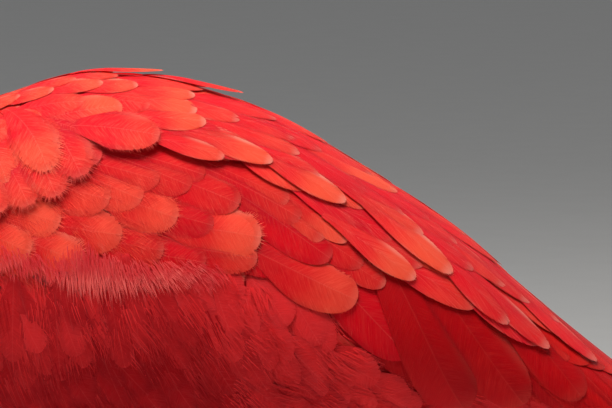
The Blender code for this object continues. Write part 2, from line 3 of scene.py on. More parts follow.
import bpy
import numpy as np
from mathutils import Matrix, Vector


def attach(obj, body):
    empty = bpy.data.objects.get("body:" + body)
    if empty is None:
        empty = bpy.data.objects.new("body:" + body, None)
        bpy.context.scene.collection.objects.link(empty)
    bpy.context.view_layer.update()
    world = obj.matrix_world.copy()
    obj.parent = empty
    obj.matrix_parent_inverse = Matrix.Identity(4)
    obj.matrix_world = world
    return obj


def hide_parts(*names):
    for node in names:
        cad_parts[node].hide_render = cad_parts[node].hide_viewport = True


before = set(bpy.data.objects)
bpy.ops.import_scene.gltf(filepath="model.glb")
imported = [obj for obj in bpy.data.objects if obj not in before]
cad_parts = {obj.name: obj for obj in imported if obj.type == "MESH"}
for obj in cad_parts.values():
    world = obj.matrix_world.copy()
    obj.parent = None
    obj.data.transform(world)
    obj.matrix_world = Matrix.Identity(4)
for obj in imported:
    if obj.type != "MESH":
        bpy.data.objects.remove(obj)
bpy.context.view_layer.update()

# The camera stands off on the bird's left, a little above its back, and looks through a long lens,
# so that the back and the folded wing fill the picture and neck, tail and legs lie outside it.
MM = 0.001
PICTURE = (612, 408)
PIXEL = 0.33 * MM  # size of a pixel on the bird's middle plane
AIM = np.array((85.0, 0.0, 239.8)) * MM
CAMERA_AWAY = 2.2
CAMERA_RISE = math.radians(5)
SENSOR = 36.0
toward = np.array((0, math.cos(CAMERA_RISE), -math.sin(CAMERA_RISE)))
eye_point = AIM - toward * CAMERA_AWAY
picture_up = np.array((0, math.sin(CAMERA_RISE), math.cos(CAMERA_RISE)))
lens = bpy.data.cameras.new("camera")
lens.sensor_width = SENSOR
lens.lens = SENSOR * CAMERA_AWAY / (PICTURE[0] * PIXEL)
lens.clip_start, lens.clip_end = 0.1, 60
camera = bpy.data.objects.new("camera", lens)
camera.location = eye_point
camera.rotation_mode = "QUATERNION"
camera.rotation_quaternion = Vector(toward).to_track_quat("-Z", "Y")
bpy.context.scene.collection.objects.link(camera)
bpy.context.scene.camera = camera


def in_picture(points):
    """Where points in space fall in the picture, as pixels from its left and its top."""
    from_eye = points - eye_point
    size = CAMERA_AWAY / (from_eye @ toward) / PIXEL
    right, up = from_eye[..., 0] * size, (from_eye @ picture_up) * size
    return np.stack([PICTURE[0] / 2 + right, PICTURE[1] / 2 - up], -1)


# The studio: a pale matt floor that runs out of sight, a large soft light high over the shoulders,
# and weaker soft lights in front and behind, so that the top is bright and the flank falls into shade.
class Wire:
    """A socket of a material's nodes that carries a number, with arithmetic."""

    def __init__(self, socket):
        self.socket = socket

    def maths(self, operation, *values):
        tree = self.socket.id_data
        node = tree.nodes.new("ShaderNodeMath")
        node.operation = operation
        for slot, value in zip(node.inputs, values):
            if isinstance(value, Wire):
                tree.links.new(value.socket, slot)
            else:
                slot.default_value = value
        return Wire(node.outputs[0])

    def __add__(self, other):
        return self.maths("ADD", self, other)

    def __sub__(self, other):
        return self.maths("SUBTRACT", self, other)

    def __rsub__(self, other):
        return self.maths("SUBTRACT", other, self)

    def __mul__(self, other):
        return self.maths("MULTIPLY", self, other)

    def __abs__(self):
        return self.maths("ABSOLUTE", self)

    def most(self, other):
        return self.maths("MAXIMUM", self, other)

    __radd__, __rmul__ = __add__, __mul__


class Finish:
    """A material made of nodes around one glossy and diffuse shader."""

    def __init__(self, name, **constants):
        self.material = bpy.data.materials.new(name)
        self.material.use_nodes = True
        self.tree = self.material.node_tree
        self.shader = self.tree.nodes["Principled BSDF"]
        for slot, value in constants.items():
            self.shader.inputs[slot.replace("_", " ")].default_value = value

    def node(self, kind, settings=None, out=0, **sockets):
        """A node of a kind, its settings made first, then the values or wires of its sockets."""
        node = self.tree.nodes.new("ShaderNode" + kind)
        for key, value in (settings or {}).items():
            setattr(node, key, value)
        for slot, value in sockets.items():
            slot = node.inputs[int(slot[1:]) if slot[1:].isdigit() else slot.replace("_", " ")]
            if isinstance(value, Wire):
                self.tree.links.new(value.socket, slot)
            else:
                slot.default_value = value
        return Wire(node.outputs[out])

    def carried(self, name):
        """A number that the mesh carries at each point."""
        return self.node("Attribute", {"attribute_name": name}, out=2)

    def mixed(self, share, first, second):
        """A colour between two others, each a wire or red, green and blue."""
        first, second = (colour if isinstance(colour, Wire) else (*colour, 1) for colour in (first, second))
        return self.node("Mix", {"data_type": "RGBA"}, out=2, s0=share, s6=first, s7=second)

    def between(self, value, low, high):
        """0 where a value is under low, 1 where it is over high, smooth between them."""
        return self.node("MapRange", {"interpolation_type": "SMOOTHSTEP"}, Value=value,
                         From_Min=low, From_Max=high)

    def noise(self, scale, detail=2.0, rough=0.5, vector=None):
        """Soft random spots, through the space of the piece unless another vector is given."""
        vector = vector or self.node("TexCoord", out=3)
        return self.node("TexNoise", Vector=vector, Scale=scale, Detail=detail, Roughness=rough)

    def put(self, **wires):
        for slot, wire in wires.items():
            self.tree.links.new(wire.socket, self.shader.inputs[slot.replace("_", " ")])

    def bumps(self, height, strength, distance):
        self.put(Normal=self.node("Bump", Height=height, Strength=strength, Distance=distance))


def mesh_of(name, points, faces, finish):
    """A mesh object of triangles or of quads, with smooth shading."""
    points, faces = np.asarray(points, np.float32), np.asarray(faces, np.int32)
    mesh = bpy.data.meshes.new(name)
    mesh.vertices.add(len(points))
    mesh.vertices.foreach_set("co", points.ravel())
    mesh.loops.add(faces.size)
    mesh.loops.foreach_set("vertex_index", faces.ravel())
    mesh.polygons.add(len(faces))
    mesh.polygons.foreach_set("loop_start", np.arange(0, faces.size, faces.shape[1], dtype=np.int32))
    mesh.update(calc_edges=True)
    mesh.shade_smooth()
    mesh.materials.append(finish.material)
    obj = bpy.data.objects.new(name, mesh)
    bpy.context.scene.collection.objects.link(obj)
    return obj


def soft_light(name, place, aim, size, power, colour=(1.0, 1.0, 1.0)):
    """A round lamp with a broad soft face, turned toward a place."""
    light = bpy.data.lights.new(name, "AREA")
    light.shape, light.size, light.energy, light.color = "DISK", size, power, colour
    obj = bpy.data.objects.new(name, light)
    obj.location = place
    obj.rotation_mode = "QUATERNION"
    obj.rotation_quaternion = (Vector(aim) - Vector(place)).to_track_quat("-Z", "Y")
    bpy.context.scene.collection.objects.link(obj)


FLOOR_REACH = 25.0
floor_paint = Finish("pale_floor", Roughness=0.8)
grain = floor_paint.noise(30.0, detail=4.0)
floor_paint.put(Base_Color=floor_paint.mixed(grain, (0.66, 0.65, 0.63), (0.70, 0.69, 0.67)))
corners = [(x * FLOOR_REACH, y * FLOOR_REACH, -0.0002) for x, y in ((-1, -1), (1, -1), (1, 1), (-1, 1))]
mesh_of("floor", corners, [(0, 1, 2, 3)], floor_paint)
BACK_TOP = (0.03, 0.0, 0.24)
soft_light("light_over_shoulders", (-0.25, -0.42, 1.75), BACK_TOP, 0.9, 40, (1.0, 0.97, 0.93))
soft_light("light_in_front", (-1.6, -1.6, 0.9), BACK_TOP, 1.2, 4)
soft_light("light_behind", (1.2, 1.6, 1.3), BACK_TOP, 1.2, 6)
world = bpy.data.worlds.new("room")
world.use_nodes = True
world.node_tree.nodes["Background"].inputs["Color"].default_value = (0.95, 0.97, 1.0, 1)
world.node_tree.nodes["Background"].inputs["Strength"].default_value = 0.22
bpy.context.scene.world = world
bpy.context.scene.view_settings.view_transform = "Standard"

# The skin: one closed body of head, neck, trunk and thighs, as under a live bird's feathers. It is
# dull red under the coat, and bare and pink round the bill and eyes, with fine wrinkles and pores.
BACK_PLACE = np.array((22.0, 285.0)) * MM  # the top of the back, across and up
BODY_ROWS = np.array((  # back, belly, half width, in mm from the top of the back
    (-139, 113, -134, 93, 8), (-128, 121.5, -125, 90, 12.5), (-114, 126.5, -113, 88, 15.5),
    (-99, 126, -105, 86, 16.5), (-86, 117, -101, 82, 16), (-79, 101, -102, 77, 14.5),
    (-76, 80, -103.5, 68, 13.5), (-78, 55, -106, 49, 14), (-80.5, 30, -112, 23, 16.5),
    (-79, 8, -117, -8, 21), (-70, -8, -113, -37, 26.5), (-57, -16, -105, -64, 33),
    (-38, -8.5, -93, -92, 44), (-12, -1, -69, -114, 54), (18, -3, -37, -128, 59),
    (50, -13.5, 3, -133, 59), (82, -31.5, 43, -133, 54), (112, -51.5, 80, -128, 45),
    (138, -74, 112, -122, 34), (164, -96, 148, -125, 25), (190, -116, 180, -133, 16),
    (216, -136, 210, -146, 10))) * MM
EGG = 0.06  # how much wider the body is below its middle


def smooth(rows, t):
    """The smooth curve through rows that lie at t = 0, 1, 2 and on, straight past its ends."""
    t = np.asarray(t, float)
    inner = np.clip(t, 0, len(rows) - 1 - 1e-9)
    past = (t - inner).reshape(t.shape + (1,) * (rows.ndim - 1))
    slope = np.where(past > 0, rows[-1] - rows[-2], rows[1] - rows[0])
    rows = np.concatenate([2 * rows[:1] - rows[1:2], rows, 2 * rows[-1:] - rows[-2:-1]])
    i = inner.astype(int)
    f = (inner - i).reshape(past.shape)
    a, b, c, d = rows[i], rows[i + 1], rows[i + 2], rows[i + 3]
    curve = 2 * b + (c - a) * f + (2 * a - 5 * b + 4 * c - d) * f**2
    return 0.5 * (curve + (3 * b - a - 3 * c + d) * f**3) + past * slope


def ease(low, high, x):
    """0 below low, 1 above high, and smooth between."""
    f = np.clip((np.asarray(x, float) - low) / (high - low), 0, 1)
    return f * f * (3 - 2 * f)


def unit(vectors):
    """The same directions at length one."""
    return vectors / np.linalg.norm(vectors, axis=-1, keepdims=True)


def rings_of(stations, sides):
    """Stations and turns in degrees of a grid of places around a tube."""
    return np.meshgrid(stations, np.linspace(0, 360, sides, endpoint=False), indexing="ij")


def body(t, turn, lift=0.0):
    """Points of the coat's outside at station t and a turn in degrees from the back line to the left."""
    t, turn, lift = np.broadcast_arrays(np.asarray(t, float), np.radians(turn), lift)
    row = smooth(BODY_ROWS, t)
    back, belly, half = row[..., 0:2] + BACK_PLACE, row[..., 2:4] + BACK_PLACE, row[..., 4]
    centre, reach = (back + belly) / 2, (back - belly) / 2
    across = -half * np.sin(turn) * (1 - EGG * np.cos(turn))
    offset = np.stack([reach[..., 0] * np.cos(turn), across, reach[..., 1] * np.cos(turn)], -1)
    offset *= (1 + lift / np.linalg.norm(offset, axis=-1))[..., None]
    return offset + np.stack([centre[..., 0], np.zeros_like(half), centre[..., 1]], -1)


def bare(t, turn):
    """1 on the bare face and 0 under the coat."""
    away = np.abs((np.asarray(turn, float) + 180) % 360 - 180)
    edge = np.interp(away, (0, 28, 55, 85, 110, 140, 180), (0.5, 0.75, 1.75, 2.85, 2.6, 2.1, 1.9))
    return 1 - ease(edge - 0.16, edge + 0.16, t)


def coat_depth(t, turn):
    """How far the skin lies under the coat's outside."""
    depth = np.interp(t, (0, 1, 3, 6, 9, 12, 14), (0.3, 0.9, 1.5, 2.4, 3.2, 5.0, 6.0)) * MM
    return depth * (1 - bare(t, turn))


def grid(rows, columns, closed=True):
    """Quads over a grid of points, which closes on itself across its columns."""
    r, c = np.meshgrid(np.arange(rows - 1), np.arange(columns if closed else columns - 1), indexing="ij")
    a, b = r * columns + c, r * columns + (c + 1) % columns
    return np.stack([a, b, b + columns, a + columns], -1).reshape(-1, 4)


def loft(rings):
    """Points and triangles of a tube through rings of points, its ends closed by fans to two last points."""
    count, sides = rings.shape[:2]
    quads = grid(count, sides)
    faces = [np.concatenate([quads[:, (0, 1, 2)], quads[:, (0, 2, 3)]])]
    points = [rings.reshape(-1, 3), rings[0].mean(0)[None], rings[-1].mean(0)[None]]
    ring = np.arange(sides)
    for centre, first, flip in ((count * sides, 0, True), (count * sides + 1, (count - 1) * sides, False)):
        fan = np.stack([first + ring, first + np.roll(ring, -1), np.full(sides, centre)], 1)
        faces.append(fan[:, (1, 0, 2)] if flip else fan)
    return np.concatenate(points), np.concatenate(faces)


def ripple(points, size, seed):
    """A slow random field over space, from -1 to 1, made of crossed waves about size long."""
    draw = np.random.default_rng(seed)
    waves = draw.normal(0, 2.2 / size, (7, 3))
    return np.sin(points @ waves.T + draw.uniform(0, 6.28, 7)).sum(-1) / 3.5


def relief(t, turn):
    """The small folds of the bare face, as a rise of the skin."""
    points = body(t, turn)
    folds = np.abs(ripple(points * (1, 1, 1.8), 2.4 * MM, 3)) ** 0.7
    pores = ripple(points, 0.9 * MM, 4)
    fade = ease(0.05, 0.4, t)
    return bare(t, turn) * fade * (0.16 * (0.5 - folds) + 0.035 * pores) * MM


EYE = np.array((-116.5 * MM + BACK_PLACE[0], 11.8 * MM, 109.5 * MM + BACK_PLACE[1]))
EYE_RADIUS, SOCKET_DEPTH = 5.0 * MM, 3.4 * MM
SOCKET_EDGE = 0.62, 1.25  # where the socket's side begins and ends, in radii of the eye
t, turn = rings_of(np.concatenate([np.linspace(0, 3.3, 100), np.linspace(3.36, 18.7, 140)]), 200)
rings = body(t, turn, relief(t, turn) - coat_depth(t, turn))
for side in (-1, 1):
    socket = EYE * (1, side, 1)
    away = np.linalg.norm((rings - socket) * (1, 0.35, 1), axis=-1)
    rings[..., 1] -= side * SOCKET_DEPTH * (1 - ease(*SOCKET_EDGE, away / EYE_RADIUS)) * (rings[..., 1] * side > 0)
THIGH = np.array((  # mm from the top of the back, and half sizes fore and aft, and across
    (8, 23.4, -104, 24, 15), (14, 26, -124, 21, 14), (22, 26, -144, 12.5, 10), (29, 26, -161, 6.6, 6.2)))
THIGH_COAT = 2.2 * MM  # depth of the feathers on it


def limb(rows, t, turn, lift=0.0):
    """Points round a limb that runs through rows of centre, fore and aft size, and size across."""
    t, turn, lift = np.broadcast_arrays(np.asarray(t, float), np.radians(turn), lift)
    row = smooth(rows, t)
    ahead = unit(smooth(rows, t + 0.01)[..., :3] - smooth(rows, t - 0.01)[..., :3])
    fore = unit(np.stack([-ahead[..., 2], 0 * ahead[..., 0], ahead[..., 0]], -1))
    side = np.cross(ahead, fore)
    out = row[..., 3:4] * np.cos(turn)[..., None] * fore + row[..., 4:5] * np.sin(turn)[..., None] * side
    out = out * (1 + lift / np.linalg.norm(out, axis=-1))[..., None]
    return row[..., :3] + out


def placed(rows, side=1):
    """Rows of a limb in mm from the top of the back, put in place on one side."""
    rows = np.array(rows, float) * MM
    rows[:, 0] += BACK_PLACE[0]
    rows[:, 1] *= side
    rows[:, 2] += BACK_PLACE[1]
    return rows


def flesh(name, **constants):
    """A finish that light sinks into, the red of it deepest."""
    return Finish(name, Subsurface_Radius=(1.0, 0.35, 0.25), **constants)


skin_finish = flesh("bare_skin", Roughness=0.5, Subsurface_Weight=0.25, Subsurface_Scale=0.003,
                    Specular_IOR_Level=0.45)
blotch = skin_finish.noise(260.0, detail=5.0, rough=0.6)
fine = skin_finish.noise(1400.0, detail=3.0)
pink = skin_finish.mixed(skin_finish.between(blotch, 0.35, 0.7), (0.62, 0.13, 0.10), (0.74, 0.27, 0.21))
pink = skin_finish.mixed(skin_finish.between(fine, 0.5, 0.75) * 0.5, pink, (0.45, 0.08, 0.07))
face = skin_finish.carried("bare")
skin_finish.put(Base_Color=skin_finish.mixed(face, (0.50, 0.012, 0.012), pink),
                Roughness=0.42 + 0.25 * fine)
skin_finish.bumps(fine + blotch, 0.5, 0.0003)
points, faces = loft(rings)
skin = mesh_of("skin", points, faces, skin_finish)


def carry(obj, **values):
    """Numbers that the mesh carries at each point, for its material."""
    for name, value in values.items():
        layer = obj.data.attributes.new(name, "FLOAT", "POINT")
        layer.data.foreach_set("value", np.asarray(value, np.float32).ravel())


def with_ends(values, first, last):
    """Numbers for a loft's rings, and for the points that close its two ends."""
    return np.concatenate([values.ravel(), [first, last]])


carry(skin, bare=with_ends(bare(t, turn), 1, 0))


def united(base, pieces):
    """Joins closed pieces to a base as one closed skin and removes them."""
    for piece in pieces:
        union = base.modifiers.new("union", "BOOLEAN")
        union.operation, union.object, union.solver = "UNION", piece, "EXACT"
    graph = bpy.context.evaluated_depsgraph_get()
    mesh = bpy.data.meshes.new_from_object(base.evaluated_get(graph))
    base.modifiers.clear()
    base.data = mesh
    for piece in pieces:
        bpy.data.objects.remove(piece, do_unlink=True)


thighs = []
for side in (-1, 1):
    t, turn = rings_of(np.linspace(0, 3, 25), 32)
    points, faces = loft(limb(placed(THIGH, side), t, turn, -THIGH_COAT * (1 - t / 3)))
    thighs.append(mesh_of("thigh_skin", points, faces, skin_finish))
    carry(thighs[-1], bare=np.zeros(len(points)))
united(skin, thighs)
skin.data.shade_smooth()
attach(skin, "root")
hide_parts("torso", "neck_lower", "neck_upper", "head", "thigh_left", "thigh_right")

# The eyes: dark brown balls with a black pupil under a wet clear front, each held by a ring of
# small wrinkled lids that stands just proud of the face.
eye_finish = Finish("eye_wet", Roughness=0.06, Coat_Weight=1.0, Coat_Roughness=0.02)
spot = eye_finish.carried("spot")
streaks = eye_finish.noise(2200.0, detail=3.0)
iris = eye_finish.mixed(streaks, (0.028, 0.010, 0.005), (0.075, 0.028, 0.012))
iris = eye_finish.mixed(eye_finish.between(spot, 0.50, 0.54), (0.001, 0.001, 0.001), iris)
eye_finish.put(Base_Color=eye_finish.mixed(eye_finish.between(spot, 0.84, 0.95), iris,
                                           (0.012, 0.006, 0.005)))
lid_finish = flesh("lid_skin", Roughness=0.5, Subsurface_Weight=0.2, Subsurface_Scale=0.002)
speckle = lid_finish.noise(1500.0, detail=4.0)
lid_finish.put(Base_Color=lid_finish.mixed(lid_finish.between(speckle, 0.35, 0.7),
                                           (0.50, 0.11, 0.09), (0.70, 0.25, 0.20)))
lid_finish.bumps(speckle, 0.5, 0.0002)
EYE_TILT = math.radians(6)  # the eyes look a little forward
LID_ROWS, LID_COLUMNS = 34, 110
for name, side in (("left", -1), ("right", 1)):
    centre = EYE * (1, side, 1)
    axis = unit(np.array((-math.sin(EYE_TILT), side * math.cos(EYE_TILT), 0.03)))
    level = unit(np.cross((0, 0, 1), axis))
    upright = np.cross(axis, level)
    lean, turn = np.radians(rings_of(np.linspace(2, 178, 48), 64))
    bulge = 1 + 0.05 * (1 - ease(0.0, 0.62, lean))
    ring = (np.cos(turn)[..., None] * level + np.sin(turn)[..., None] * upright) * np.sin(lean)[..., None]
    ball = centre + EYE_RADIUS * bulge[..., None] * (ring + np.cos(lean)[..., None] * axis)
    points, faces = loft(ball)
    eye = mesh_of("eyeball_" + name, points, faces[:, ::-1], eye_finish)
    carry(eye, spot=with_ends(np.sin(lean) + 2 * (lean > 1.6), 0, 3))
    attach(eye, "root")
    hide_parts("eye_" + name)
    # A lid's section runs from under the ball's edge up over its rim and down into the face.
    path = np.array(((4.35, 2.05), (4.0, 3.05), (4.05, 3.45), (4.45, 3.72), (4.95, 3.7), (5.5, 3.3), (6.1, 2.75),
                     (6.8, 2.2), (7.4, 1.2), (7.0, 0.2), (5.6, 0.6))) * MM
    section = smooth(path, np.linspace(0, len(path) - 1, LID_ROWS))
    turn = np.radians(np.linspace(0, 360, LID_COLUMNS, endpoint=False))
    oval = 1 - 0.10 * np.abs(np.sin(turn)) - 0.03 * np.cos(2 * turn)
    folds = 0.07 * MM * np.sin(np.linspace(0, 9, LID_ROWS) * 2)[:, None] * (1 + 0.5 * np.sin(turn * 23))
    rim = 0.06 * MM * np.sin(turn * 31 + 1.3 * np.sin(turn * 7))
    reach = section[:, 0, None] * oval + folds * 0.3
    height = section[:, 1, None] + folds + rim * ease(4.3 * MM, 5.4 * MM, section[:, 0, None])
    ring = np.cos(turn)[None, :, None] * level + np.sin(turn)[None, :, None] * upright
    shape = centre + reach[..., None] * ring + height[..., None] * axis
    first = np.arange(LID_COLUMNS)
    last = first + (LID_ROWS - 1) * LID_COLUMNS
    closing = np.stack([last, np.roll(last, -1), np.roll(first, -1), first], 1)
    quads = np.concatenate([grid(LID_ROWS, LID_COLUMNS), closing])
    lids = mesh_of("lids_" + name, shape.reshape(-1, 3), quads[:, ::-1], lid_finish)
    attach(lids, "root")

# The bill: two long horny halves that curve down together from the face, with a nostril slit near the
# base and a groove along each side. The horn is polished, pinkish brown at the base and dark ahead.
BILL_LENGTH, BILL_PITCH, BILL_TURN = 145 * MM, math.radians(14), math.radians(46)
BILL_DEPTHS, BILL_WIDTHS = (17.8 * MM, 4.4 * MM), (14.2 * MM, 4.0 * MM)
MOUTH_GAP = 0.3 * MM
GROOVE_LINE, NOSTRIL_LINE, NOSTRIL_PLACE = 38, 40, 0.075  # degrees up from the mouth, and a share of the length
INNER_POINTS = 9  # across the inner side of each half


def bill_line(share):
    """Centre and pitch of the bill at a share of its length."""
    pitch = BILL_PITCH + BILL_TURN * share
    radius = BILL_LENGTH / BILL_TURN
    base = (BODY_ROWS[0, 0:2] + BODY_ROWS[0, 2:4]) / 2 + BACK_PLACE
    x = base[0] - radius * (np.sin(pitch) - math.sin(BILL_PITCH)) - MOUTH_GAP * math.cos(BILL_PITCH)
    z = base[1] - radius * (math.cos(BILL_PITCH) - np.cos(pitch)) - MOUTH_GAP * math.sin(BILL_PITCH)
    return x, z, pitch


horn = Finish("bill_horn_polished", Roughness=0.32, Coat_Weight=0.25, Coat_Roughness=0.2)
along = horn.carried("along")
combed = horn.node("CombineXYZ", X=along * 6.0, Y=horn.carried("round") * 46.0)
lines = horn.noise(1.0, detail=4.0, vector=combed)
patches = horn.noise(120.0, detail=5.0)
base_pink = horn.mixed(lines, (0.30, 0.105, 0.075), (0.42, 0.17, 0.125))
tip_dark = horn.mixed(lines, (0.030, 0.018, 0.015), (0.075, 0.045, 0.035))
shade = horn.between(along + 0.25 * (patches - 0.5), 0.02, 0.5)
horn.put(Base_Color=horn.mixed(shade, base_pink, tip_dark), Roughness=0.26 + 0.3 * lines)
horn.bumps(lines + 0.4 * patches, 0.35, 0.0002)
share, arc = np.meshgrid(np.linspace(0, 1, 150), np.radians(np.linspace(0, 180, 57)), indexing="ij")
taper = (1 - share) ** 1.1
rounding = np.sqrt(np.clip(1 - ease(0.955, 1.03, share) ** 2, 0.03, 1))
depth = (BILL_DEPTHS[1] + (BILL_DEPTHS[0] - BILL_DEPTHS[1]) * taper) * rounding
width = (BILL_WIDTHS[1] + (BILL_WIDTHS[0] - BILL_WIDTHS[1]) * taper) * rounding
x, z, pitch = bill_line(share)
for name, up, part in (("upper", 1, 0.56), ("lower", -1, 0.44)):
    angle = np.degrees(arc)
    side_line = np.minimum(angle, 180 - angle)
    groove = np.exp(-((side_line - GROOVE_LINE) / 7) ** 2) * ease(0.0, 0.05, share) * (1 - ease(0.75, 0.95, share))
    slit = np.exp(-((side_line - NOSTRIL_LINE) / 6.5) ** 4) * np.exp(-((share - NOSTRIL_PLACE) / 0.03) ** 4)
    keel = np.exp(-((90 - side_line) / 14) ** 2)
    inset = 0.35 * MM * groove + 1.5 * MM * slit if up > 0 else 0.22 * MM * groove
    ridges = 0.05 * MM * np.sin(share * 260 + side_line * 0.12)
    ridges *= (1 - ease(0.12, 0.3, share)) * ease(20, 40, side_line)
    swell = 1 - (inset - 0.28 * MM * keel * (1 - share) - ridges) / np.maximum(width / 2, 1 * MM)
    across = np.cos(arc) * width / 2 * swell
    height = up * (MOUTH_GAP / 2 + np.sin(arc) ** 0.92 * depth * part * swell) + depth * 0.02
    shape = np.stack([x - np.sin(pitch) * height, across, z + np.cos(pitch) * height], -1)
    floor_line = up * MOUTH_GAP / 2 + depth * 0.02
    under = np.linspace(0.86, -0.86, INNER_POINTS)[None] * width[:, :1] / 2
    hollow = up * 0.5 * MM * (1 - np.linspace(-1, 1, INNER_POINTS) ** 2)[None] * taper[:, :1] + floor_line[:, :1]
    inside = np.stack([x[:, :1] - np.sin(pitch[:, :1]) * hollow, under,
                       z[:, :1] + np.cos(pitch[:, :1]) * hollow], -1)[:, ::-1]
    points, faces = loft(np.concatenate([shape, inside], 1))
    half = mesh_of("bill_half_" + name, points, faces[:, ::-up], horn)
    rows = np.concatenate([share, np.repeat(share[:, :1], INNER_POINTS, 1)], 1)
    turned = np.concatenate([side_line / 90, np.zeros((len(share), INNER_POINTS))], 1)
    carry(half, along=with_ends(rows, 0, 1), round=with_ends(turned, 0, 0))
    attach(half, "root")
    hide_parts("bill_" + name)

# The coat of head and neck: some 2,300 small soft feathers in staggered rows, hair-fine on the
# forehead and longer down the neck. Each grows from the skin and lies back over the ones behind it.
# A feather is a thin closed vane: a shaft, and barbs that leave it in arrows and fray at the edge.
HIDDEN_ROWS = 5
BARB_ROWS = np.array((0.0, 0.62, 0.81))  # near side, far side and notch, as shares of a barb's breadth
TIP = 0.996  # the last barbs end just short of the tip
HAIR_WIDTH = 0.022


def vane_shape(barbs, columns, uneven, notch, draw, aspect=0.2, widest=0.6, point=2.2, root=0.25, lead=0.2,
               hidden=0.4, splits=2, hairs=0, hair=0.1, even=1.8):
    """A feather of unit length and unit half width, as places along and across, and its triangles.
    Each barb is three rows: its near side, its far side and the notch after it. Barbs stand out by up
    to uneven and notches cut in by up to notch, and fine hairs reach up to hair past the rim, all as
    shares of the half width; the hairs are mostly short where even is over 1. The hidden part has few rows."""
    f = np.linspace(0.02, 1, 500)
    outline = (root + (1 - root) * ease(0, widest, f))
    outline = outline * np.sqrt(1 - np.clip((f - widest) / (1 - widest), 0, 1) ** point)
    arc = np.concatenate([[0], np.cumsum(np.hypot(np.diff(f), np.diff(outline) * aspect))])

    def on_rim(share):
        """The place on the outline at a share of its run, and the slant of the barb that ends there."""
        rim_f, rim_w = np.interp(share * arc[-1], arc, f), np.interp(share * arc[-1], arc, outline)
        return rim_f, rim_w, math.atan2(aspect, lead) * np.minimum(1, rim_w / 0.6)

    share = hidden + (TIP - hidden) * (np.arange(barbs)[:, None] + BARB_ROWS).ravel() / barbs
    share = np.concatenate([np.linspace(0, hidden, HIDDEN_ROWS, endpoint=False), share, [TIP]])
    outer_f, outer_w, slant = on_rim(share)
    inner_f = np.maximum.accumulate(np.maximum(outer_f - lead * outer_w, 0))
    sides = []
    for way in (-1, 1):
        long = uneven * draw.uniform(0, 1, barbs) ** 1.5
        cut = -notch * draw.uniform(0.15, 1, barbs)
        for _ in range(draw.integers(0, splits + 1)):
            cut[draw.integers(0, barbs)] -= draw.uniform(0.08, 0.25)
        change = np.stack([long * 0.8, long, cut], 1).ravel()
        change = np.concatenate([np.zeros(HIDDEN_ROWS), change, [0]]) * ease(hidden, hidden + 0.12, share)
        change = change * np.minimum(1, outer_w / 0.6)
        rim_f = outer_f + change * aspect * np.cos(slant)
        rim_w = np.maximum(outer_w + change * np.sin(slant), 0.02)
        stops = np.array(columns)[None] * np.minimum(1, rim_w / np.maximum(outer_w, 1e-6))[:, None]
        inner = np.stack([inner_f[:, None] + (outer_f - inner_f)[:, None] * stops**1.2,
                          way * (outer_w[:, None] * stops),
                          np.sqrt(1 - np.array(columns) ** 2 * 0.96) * np.ones_like(stops), share[:, None] + 0 * stops])
        rim = np.stack([rim_f, way * rim_w, 0 * rim_w, share])
        sides.append(np.concatenate([inner, rim[..., None]], 2))
    shaft = np.stack([inner_f, 0 * inner_f, 1.6 + 0 * inner_f, share])
    top = np.concatenate([sides[0][..., ::-1], shaft[..., None], sides[1]], 2)
    count, wide = top.shape[1:]
    quads = grid(count, wide, closed=False)
    faces = [quads[:, (0, 1, 2)], quads[:, (0, 2, 3)]]
    row, below = np.arange(count - 1) * wide, count * wide + np.arange(count - 1)
    for edge, flip in ((0, False), (wide - 1, True)):
        a, b = row + edge, row + edge + wide
        for tri in (np.stack([a, b, below], 1), np.stack([b, below + 1, below], 1)):
            faces.append(tri[:, ::-1] if flip else tri)
    for end, first, flip in ((0, 0, False), (count - 1, (count - 1) * wide, True)):
        c = first + np.arange(wide - 1)
        tri = np.stack([c, np.full(wide - 1, count * wide + end), c + 1], 1)
        faces.append(tri[:, ::-1] if flip else tri)
    rim = np.zeros((count, wide), bool)
    rim[:, (0, -1)] = True
    parts = [top.reshape(4, -1), np.stack([inner_f, 0 * inner_f, -np.ones(count), share])]
    first, whole = count * (wide + 1), sum(map(len, faces))
    for way in (-1, 1) if hairs else ():
        share = hidden + (TIP - hidden) * (np.arange(hairs) + draw.uniform(0, 1, hairs)) / hairs
        rim_f, rim_w, slant = on_rim(share)
        slant = slant + draw.normal(0, 0.07, hairs)
        reach = hair * (0.12 + 0.88 * draw.uniform(0, 1, hairs) ** even) * ease(hidden - 0.02, hidden + 0.1, share)
        ones = np.ones(hairs)
        out = np.stack([-(0.16 + 0.3 * hair) * ones] * 3 + [reach])
        aside = np.array((HAIR_WIDTH, -HAIR_WIDTH, 0.0, 0.0))[:, None]
        hair_f = rim_f + aspect * (out * np.cos(slant) - aside * np.sin(slant))
        hair_w = way * (rim_w + out * np.sin(slant) + aside * np.cos(slant))
        rise = np.stack([0.95 * ones, 0.95 * ones, -0.3 * ones, 0.6 + 1.6 * draw.uniform(0, 1, hairs)])
        parts.append(np.stack([hair_f, hair_w, rise, share + 0 * rise]).reshape(4, -1))
        base = first + np.arange(hairs)
        p, q = (base + hairs, base) if way > 0 else (base, base + hairs)
        c, d = base + 2 * hairs, base + 3 * hairs
        faces += [np.stack(tri, 1) for tri in ((p, q, d), (q, c, d), (c, p, d), (q, p, c))]
        first += 4 * hairs
    parts, faces = np.concatenate(parts, 1), np.concatenate(faces)
    return {**dict(zip(("along", "across", "height", "barb"), parts)), "faces": faces,
            "rim": np.concatenate([rim.ravel(), np.zeros(parts.shape[1] - rim.size, bool)]),
            "flat": np.arange(len(faces)) >= whole}


